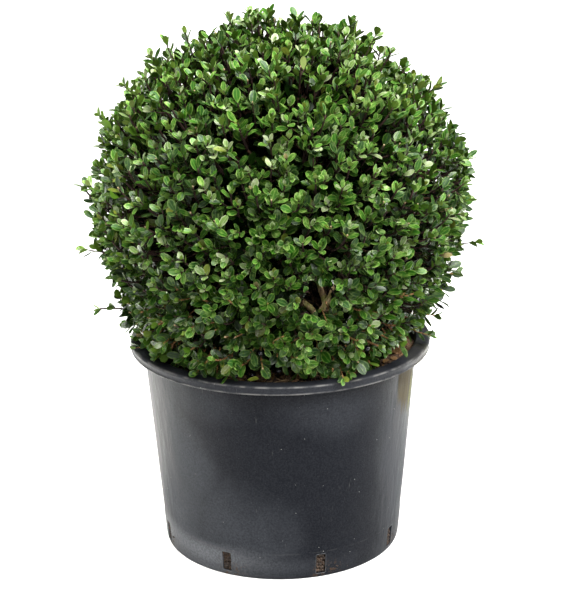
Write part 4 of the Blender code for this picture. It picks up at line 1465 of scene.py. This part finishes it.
# Shoots that stand out past the clipped ball: tip, heading, length, leaves
straysAt = {
    "left_upper": ((-0.257, -0.01, 0.409), (-0.95, -0.1, 0.3), 0.062, 9),
    "left_lower": ((-0.24, -0.004, 0.324), (-1.0, -0.1, 0.02), 0.076, 3),
    "right_upper": ((0.259, -0.006, 0.412), (0.96, -0.1, 0.22), 0.068, 9),
    "right_lower": ((0.234, -0.01, 0.37), (0.95, -0.2, 0.15), 0.06, 9),
    "right_rim": ((0.208, -0.02, 0.315), (0.95, -0.3, 0.1), 0.07, 10),
    "right_edge": ((0.196, -0.062, 0.302), (0.85, -0.5, 0.0), 0.065, 10),
    "top_far_left": ((-0.116, -0.004, 0.692), (-0.25, 0.0, 1.0), 0.06, 8),
    "top_left": ((-0.06, -0.004, 0.711), (-0.2, 0.0, 1.0), 0.055, 6),
    "top_middle": ((-0.01, -0.004, 0.716), (0.0, -0.1, 1.0), 0.055, 8),
    "top_right": ((0.095, -0.004, 0.703), (0.3, 0.0, 0.95), 0.055, 7),
    "top_far_right": ((0.126, -0.004, 0.688), (0.4, 0.0, 0.9), 0.055, 8),
    "shoulder_right": ((0.206, -0.004, 0.622), (0.75, 0.0, 0.65), 0.05, 8),
    "shoulder_left": ((-0.142, -0.004, 0.683), (-0.3, 0.0, 1.0), 0.062, 8),
    "shoulder_left_low": ((-0.16, -0.004, 0.663), (-0.45, 0.0, 0.9), 0.058, 9),
    "side_left": ((-0.196, -0.004, 0.624), (-0.7, 0.0, 0.7), 0.058, 8),
    "flank_left": ((-0.23, -0.004, 0.586), (-0.75, 0.0, 0.65), 0.06, 8),
    "rim_front": ((0.086, -0.183, 0.296), (0.35, -0.95, -0.12), 0.055, 9),
    "rim_front_low": ((0.078, -0.187, 0.291), (0.1, -0.95, -0.25), 0.05, 8),
    "rim_front_left": ((-0.105, -0.163, 0.292), (-0.4, -0.9, -0.15), 0.05, 8),
    "rim_left": ((-0.19, -0.03, 0.29), (-0.95, -0.2, 0.05), 0.06, 8),
    "rim_left_edge": ((-0.189, -0.062, 0.289), (-0.9, -0.1, -0.06), 0.058, 7),
    "rim_left_upper": ((-0.206, -0.01, 0.302), (-1.0, -0.1, 0.02), 0.06, 6),
    "rim_left_front": ((-0.158, -0.112, 0.294), (-0.75, -0.65, -0.05), 0.058, 8),
    "fork_left": ((0.0345, -0.24, 0.436), (0.3, -0.75, 0.55), 0.04, 7),
    "fork_left_low": ((0.02, -0.237, 0.406), (-0.15, -0.95, 0.15), 0.042, 7),
    "fork_right": ((0.0745, -0.23, 0.428), (-0.2, -0.9, 0.25), 0.042, 7),
    "fork_right_low": ((0.0725, -0.227, 0.406), (0.2, -0.95, 0.05), 0.04, 7),
    "fork_below": ((0.057, -0.223, 0.377), (0.05, -1.0, 0.1), 0.042, 8),
    "fork_below_left": ((0.035, -0.229, 0.386), (-0.1, -1.0, 0.05), 0.04, 7),
    "middle": ((-0.0126, -0.242, 0.478), (-0.1, -0.95, 0.3), 0.045, 8),
    "middle_left": ((-0.025, -0.242, 0.461), (-0.25, -0.95, 0.1), 0.045, 8),
    "middle_right": ((-0.003, -0.243, 0.476), (0.2, -0.95, 0.25), 0.045, 8),
    "gap_left": ((-0.0502, -0.234, 0.495), (-0.35, -0.9, 0.4), 0.045, 8),
    "gap_middle": ((-0.023, -0.239, 0.492), (0.0, -0.9, 0.45), 0.048, 8),
    "gap_right": ((-0.007, -0.239, 0.501), (0.15, -0.9, 0.45), 0.045, 8),
    "gap_end": ((0.008, -0.2415, 0.483), (0.15, -0.95, 0.3), 0.045, 7),
    "flank_gap": ((-0.1338, -0.2005, 0.45), (-0.65, -0.75, 0.25), 0.045, 8),
    "flank_gap_low": ((-0.119, -0.209, 0.438), (-0.45, -0.88, 0.1), 0.045, 7),
    "upper_gap": ((0.015, -0.1715, 0.635), (0.1, -0.6, 0.8), 0.045, 8),
    "upper_gap_low": ((0.0126, -0.186, 0.618), (-0.05, -0.7, 0.7), 0.045, 7),
}


def growStrays(forks):
    for name, (tip, heading, length, count) in straysAt.items():
        tip = np.array(tip)
        heading = asUnit(np.array(heading))
        bare = name == "left_lower"
        radial = heading + upward(0.1) if bare else asUnit(tip - crown["centre"])
        path = shootPath(tip, heading, radial, length)
        colours = sprayColours(tip, False)
        if bare:  # a tuft at its end and two leaves further back
            addTwig("shoot", path, 0.0014, 0.001)
            leafyAxis(path, count, True, colours, length * 0.35, 1.25)
            leafyAxis(path, 2, False, colours, length * 0.6, 0.72, length * 0.26, 0.0)
        else:
            addTwig("low" if tip[2] < 0.4 else "shoot", path, 0.0012, 0.0007)
            leafyAxis(path, count, True, colours, length * 0.85)
        fork = nearest(forks, path[0])
        addTwig("inner", bend(fork, (fork + path[0]) / 2, path[0], 6), 0.0015, 0.0012)


leafColours = {  # upper side, wax bloom with painted sheen, bloom share, underside, sheen
    # inner and shade are near-black greens, painted shade for leaves deep in the crown
    "inner": ((0.0022, 0.0095, 0.0008), (0.01, 0.026, 0.005), 0.14, (0.01, 0.02, 0.002), 0.04),
    "shade": ((0.0045, 0.016, 0.0011), (0.018, 0.038, 0.007), 0.14, (0.016, 0.03, 0.003), 0.06),
    "deep": ((0.0032, 0.0165, 0.0006), (0.048, 0.092, 0.013), 0.24, (0.018, 0.042, 0.002), 0.12),
    "dark": ((0.0064, 0.039, 0.0007), (0.145, 0.24, 0.046), 0.3, (0.034, 0.08, 0.004), 0.17),
    "blue": ((0.0115, 0.046, 0.006), (0.204, 0.306, 0.094), 0.38, (0.046, 0.09, 0.01), 0.23),
    "mid": ((0.018, 0.077, 0.005), (0.222, 0.338, 0.076), 0.33, (0.066, 0.128, 0.011), 0.2),
    "fresh": ((0.043, 0.122, 0.0125), (0.3, 0.412, 0.116), 0.35, (0.09, 0.16, 0.018), 0.22),
    "bright": ((0.11, 0.186, 0.042), (0.425, 0.47, 0.3), 0.44, (0.144, 0.216, 0.034), 0.3),
    "lime": ((0.164, 0.212, 0.086), (0.365, 0.4, 0.27), 0.42, (0.18, 0.236, 0.064), 0.27),
    "olive": ((0.115, 0.155, 0.016), (0.21, 0.245, 0.064), 0.24, (0.165, 0.2, 0.024), 0.24),
    "tan": ((0.2, 0.165, 0.065), (0.34, 0.3, 0.16), 0.25, (0.19, 0.155, 0.065), 0.24),
}

berry = {  # black berries, which sit low in the crown
    "radius": (0.0029, 0.0037),
    "stalk": 0.0045,
    "stalkRadius": 0.0004,
    "clear": 0.0032,
    "count": 46,
    "inFront": 5,  # of the berries that are seen, those that no leaf hides
    "seen": ((-0.024, -0.191, 0.327), (0.016, -0.173, 0.303), (-0.035, -0.152, 0.283), (0.109, -0.153, 0.318),
             (-0.002, -0.164, 0.293), (-0.118, -0.118, 0.292), (-0.158, -0.075, 0.296)),
    "below": 0.38,
    "seed": 9,
}


def keepsClear(points):  # True for each leaf or twig that misses the pot, the soil and the fork's window
    ring = np.linalg.norm(points[..., :2], axis=-1)
    height = points[..., 2]
    blocks = (height < potHeight + 0.0012) & (ring > boreRadius - 0.003) & (ring < rimRadius + 0.0015)
    blocks |= (height < soil["top"] + 0.004) & (ring < boreRadius)
    for place, far, near in crown["windows"]:
        blocks |= besideLine(points, np.array(place), near)
    for seen in berry["seen"][:berry["inFront"]]:
        toEye = asUnit(np.array(view["position"]) - seen)
        ahead = (points - seen) @ toEye
        aside = np.linalg.norm(points - seen - ahead[..., None] * toEye, axis=-1)
        blocks |= (ahead > -0.004) & (aside < berry["clear"])
    return ~blocks.any(axis=-1)


def makeLeaves():
    rng = np.random.default_rng(crown["seed"])
    columns = [np.array(column) for column in zip(*grown["leaves"])]
    places, axes, turns, spreads, sizes, colours, tones = columns
    side = asUnit(np.cross(axes, oddAxis))
    around = side * np.cos(turns)[:, None] + np.cross(axes, side) * np.sin(turns)[:, None]
    along = axes * np.cos(spreads)[:, None] + around * np.sin(spreads)[:, None]
    light = asUnit(asUnit(places - crown["centre"]) * 0.5 + upward(0.8))
    normal = axes + light * leaf["lightTurn"] + rng.normal(0, leaf["wobble"], axes.shape)
    corners = leafCorners(places, along, normal, sizes, rng)
    clear = keepsClear(corners)
    print("leaves grown", len(corners), "kept", int(clear.sum()))
    for name, values in leafColours.items():
        chosen = clear & (colours == name)
        leafPiece("leaves_" + name, corners[chosen], tones[chosen], leafMaterial(name, *values), "crown")


def makeTwigs():
    for kind in ("shoot", "low", "inner"):
        parts = []
        for steps in sorted({len(path) for path, radii in grown[kind]}):
            paths, radii = (np.array(column) for column in
                            zip(*(twig for twig in grown[kind] if len(twig[0]) == steps)))
            clear = keepsClear(paths)
            parts.append(tubeArrays(paths[clear], radii[clear], 5 if steps > 8 else 4))
        material = barkMaterial("bark_" + kind, kind)
        trianglePiece("twigs_" + kind, *joinArrays(parts), material, "bark", "crown")


def makeCuts():  # the pale sloping ends that the shears left
    ends, axes, thick = (np.array(column) for column in zip(*grown["cuts"]))
    paths = np.stack([ends - axes * 0.0022, ends + axes * 0.0008, ends + axes * 0.0011], 1)
    clear = keepsClear(paths)
    radii = np.stack([thick * 0.78, thick * 0.84, thick * 0.66], 1)
    material = barkMaterial("cut_wood", "cut")
    trianglePiece("clipped_ends", *tubeArrays(paths[clear], radii[clear], 6), material, "bark", "crown")


def berryMaterial():
    material, tree = newMaterial("berry_black")
    cloud = useGroup(tree, mottle, 230.0, 2.0)
    colour = mixColour(cloud, (0.002, 0.002, 0.003), (0.008, 0.008, 0.011))
    setSurface(tree, colour, cloud.ramp(0.2, 0.9, 0.08, 0.22), specular=0.35)
    return material


def makeBerries():
    rng = np.random.default_rng(berry["seed"])
    low = [(place, axis) for place, axis in grown["axils"] if place[2] < berry["below"]]
    centres, feet = [], []
    for index in rng.choice(len(low), berry["count"], replace=False):
        place, axis = low[index]
        away = asUnit(np.cross(axis, rng.normal(size=3)))
        centres.append(place + away * (berry["stalk"] + 0.003) + axis * 0.002)
        feet.append(place)
    clear = keepsClear(np.array(centres)[:, None] + np.array([(0, 0, 0), (0, 0, -0.003)]))
    centres, feet = list(np.array(centres)[clear]), list(np.array(feet)[clear])
    starts = np.array([place for place, axis in low])
    for seen in np.array(berry["seen"]):
        foot = nearest(starts, seen)
        centres.append(seen)
        feet.append(foot if np.linalg.norm(foot - seen) < 0.016 else seen - upward(0.004))
    centres, feet, count = np.array(centres), np.array(feet), len(centres)
    ball, ballFaces = roundTemplate(3)
    points = centres[:, None] + ball[None] * rng.uniform(*berry["radius"], (count, 1, 1))
    faces = copiedFaces(ballFaces, count, len(ball))
    trianglePiece("berries", points.reshape(-1, 3), faces, berryMaterial(), "leaves", "crown")
    paths = curvedPaths(feet, (centres + feet) / 2 + upward(0.0008), centres, 4)
    tubes = tubeArrays(paths, np.full((count, 4), berry["stalkRadius"]), 4)
    trianglePiece("berry_stalks", *tubes, barkMaterial("berry_stalk", "stalk"), "bark", "crown")
    print("berries", count)


addCamera()
addLights()
addFloor()
print("camera, floor and light made")

forks = forkPoints()
growBranches(forks)
for amount, inner in ((crown["shoots"], False), (crown["innerShoots"], True)):
    for direction in evenDirections(amount):
        growShoot(direction, forks, inner)
growStrays(forks)
for makePart in (makeTwigs, makeCuts, makeLeaves, makeBerries):
    makePart()
print("crown grown")
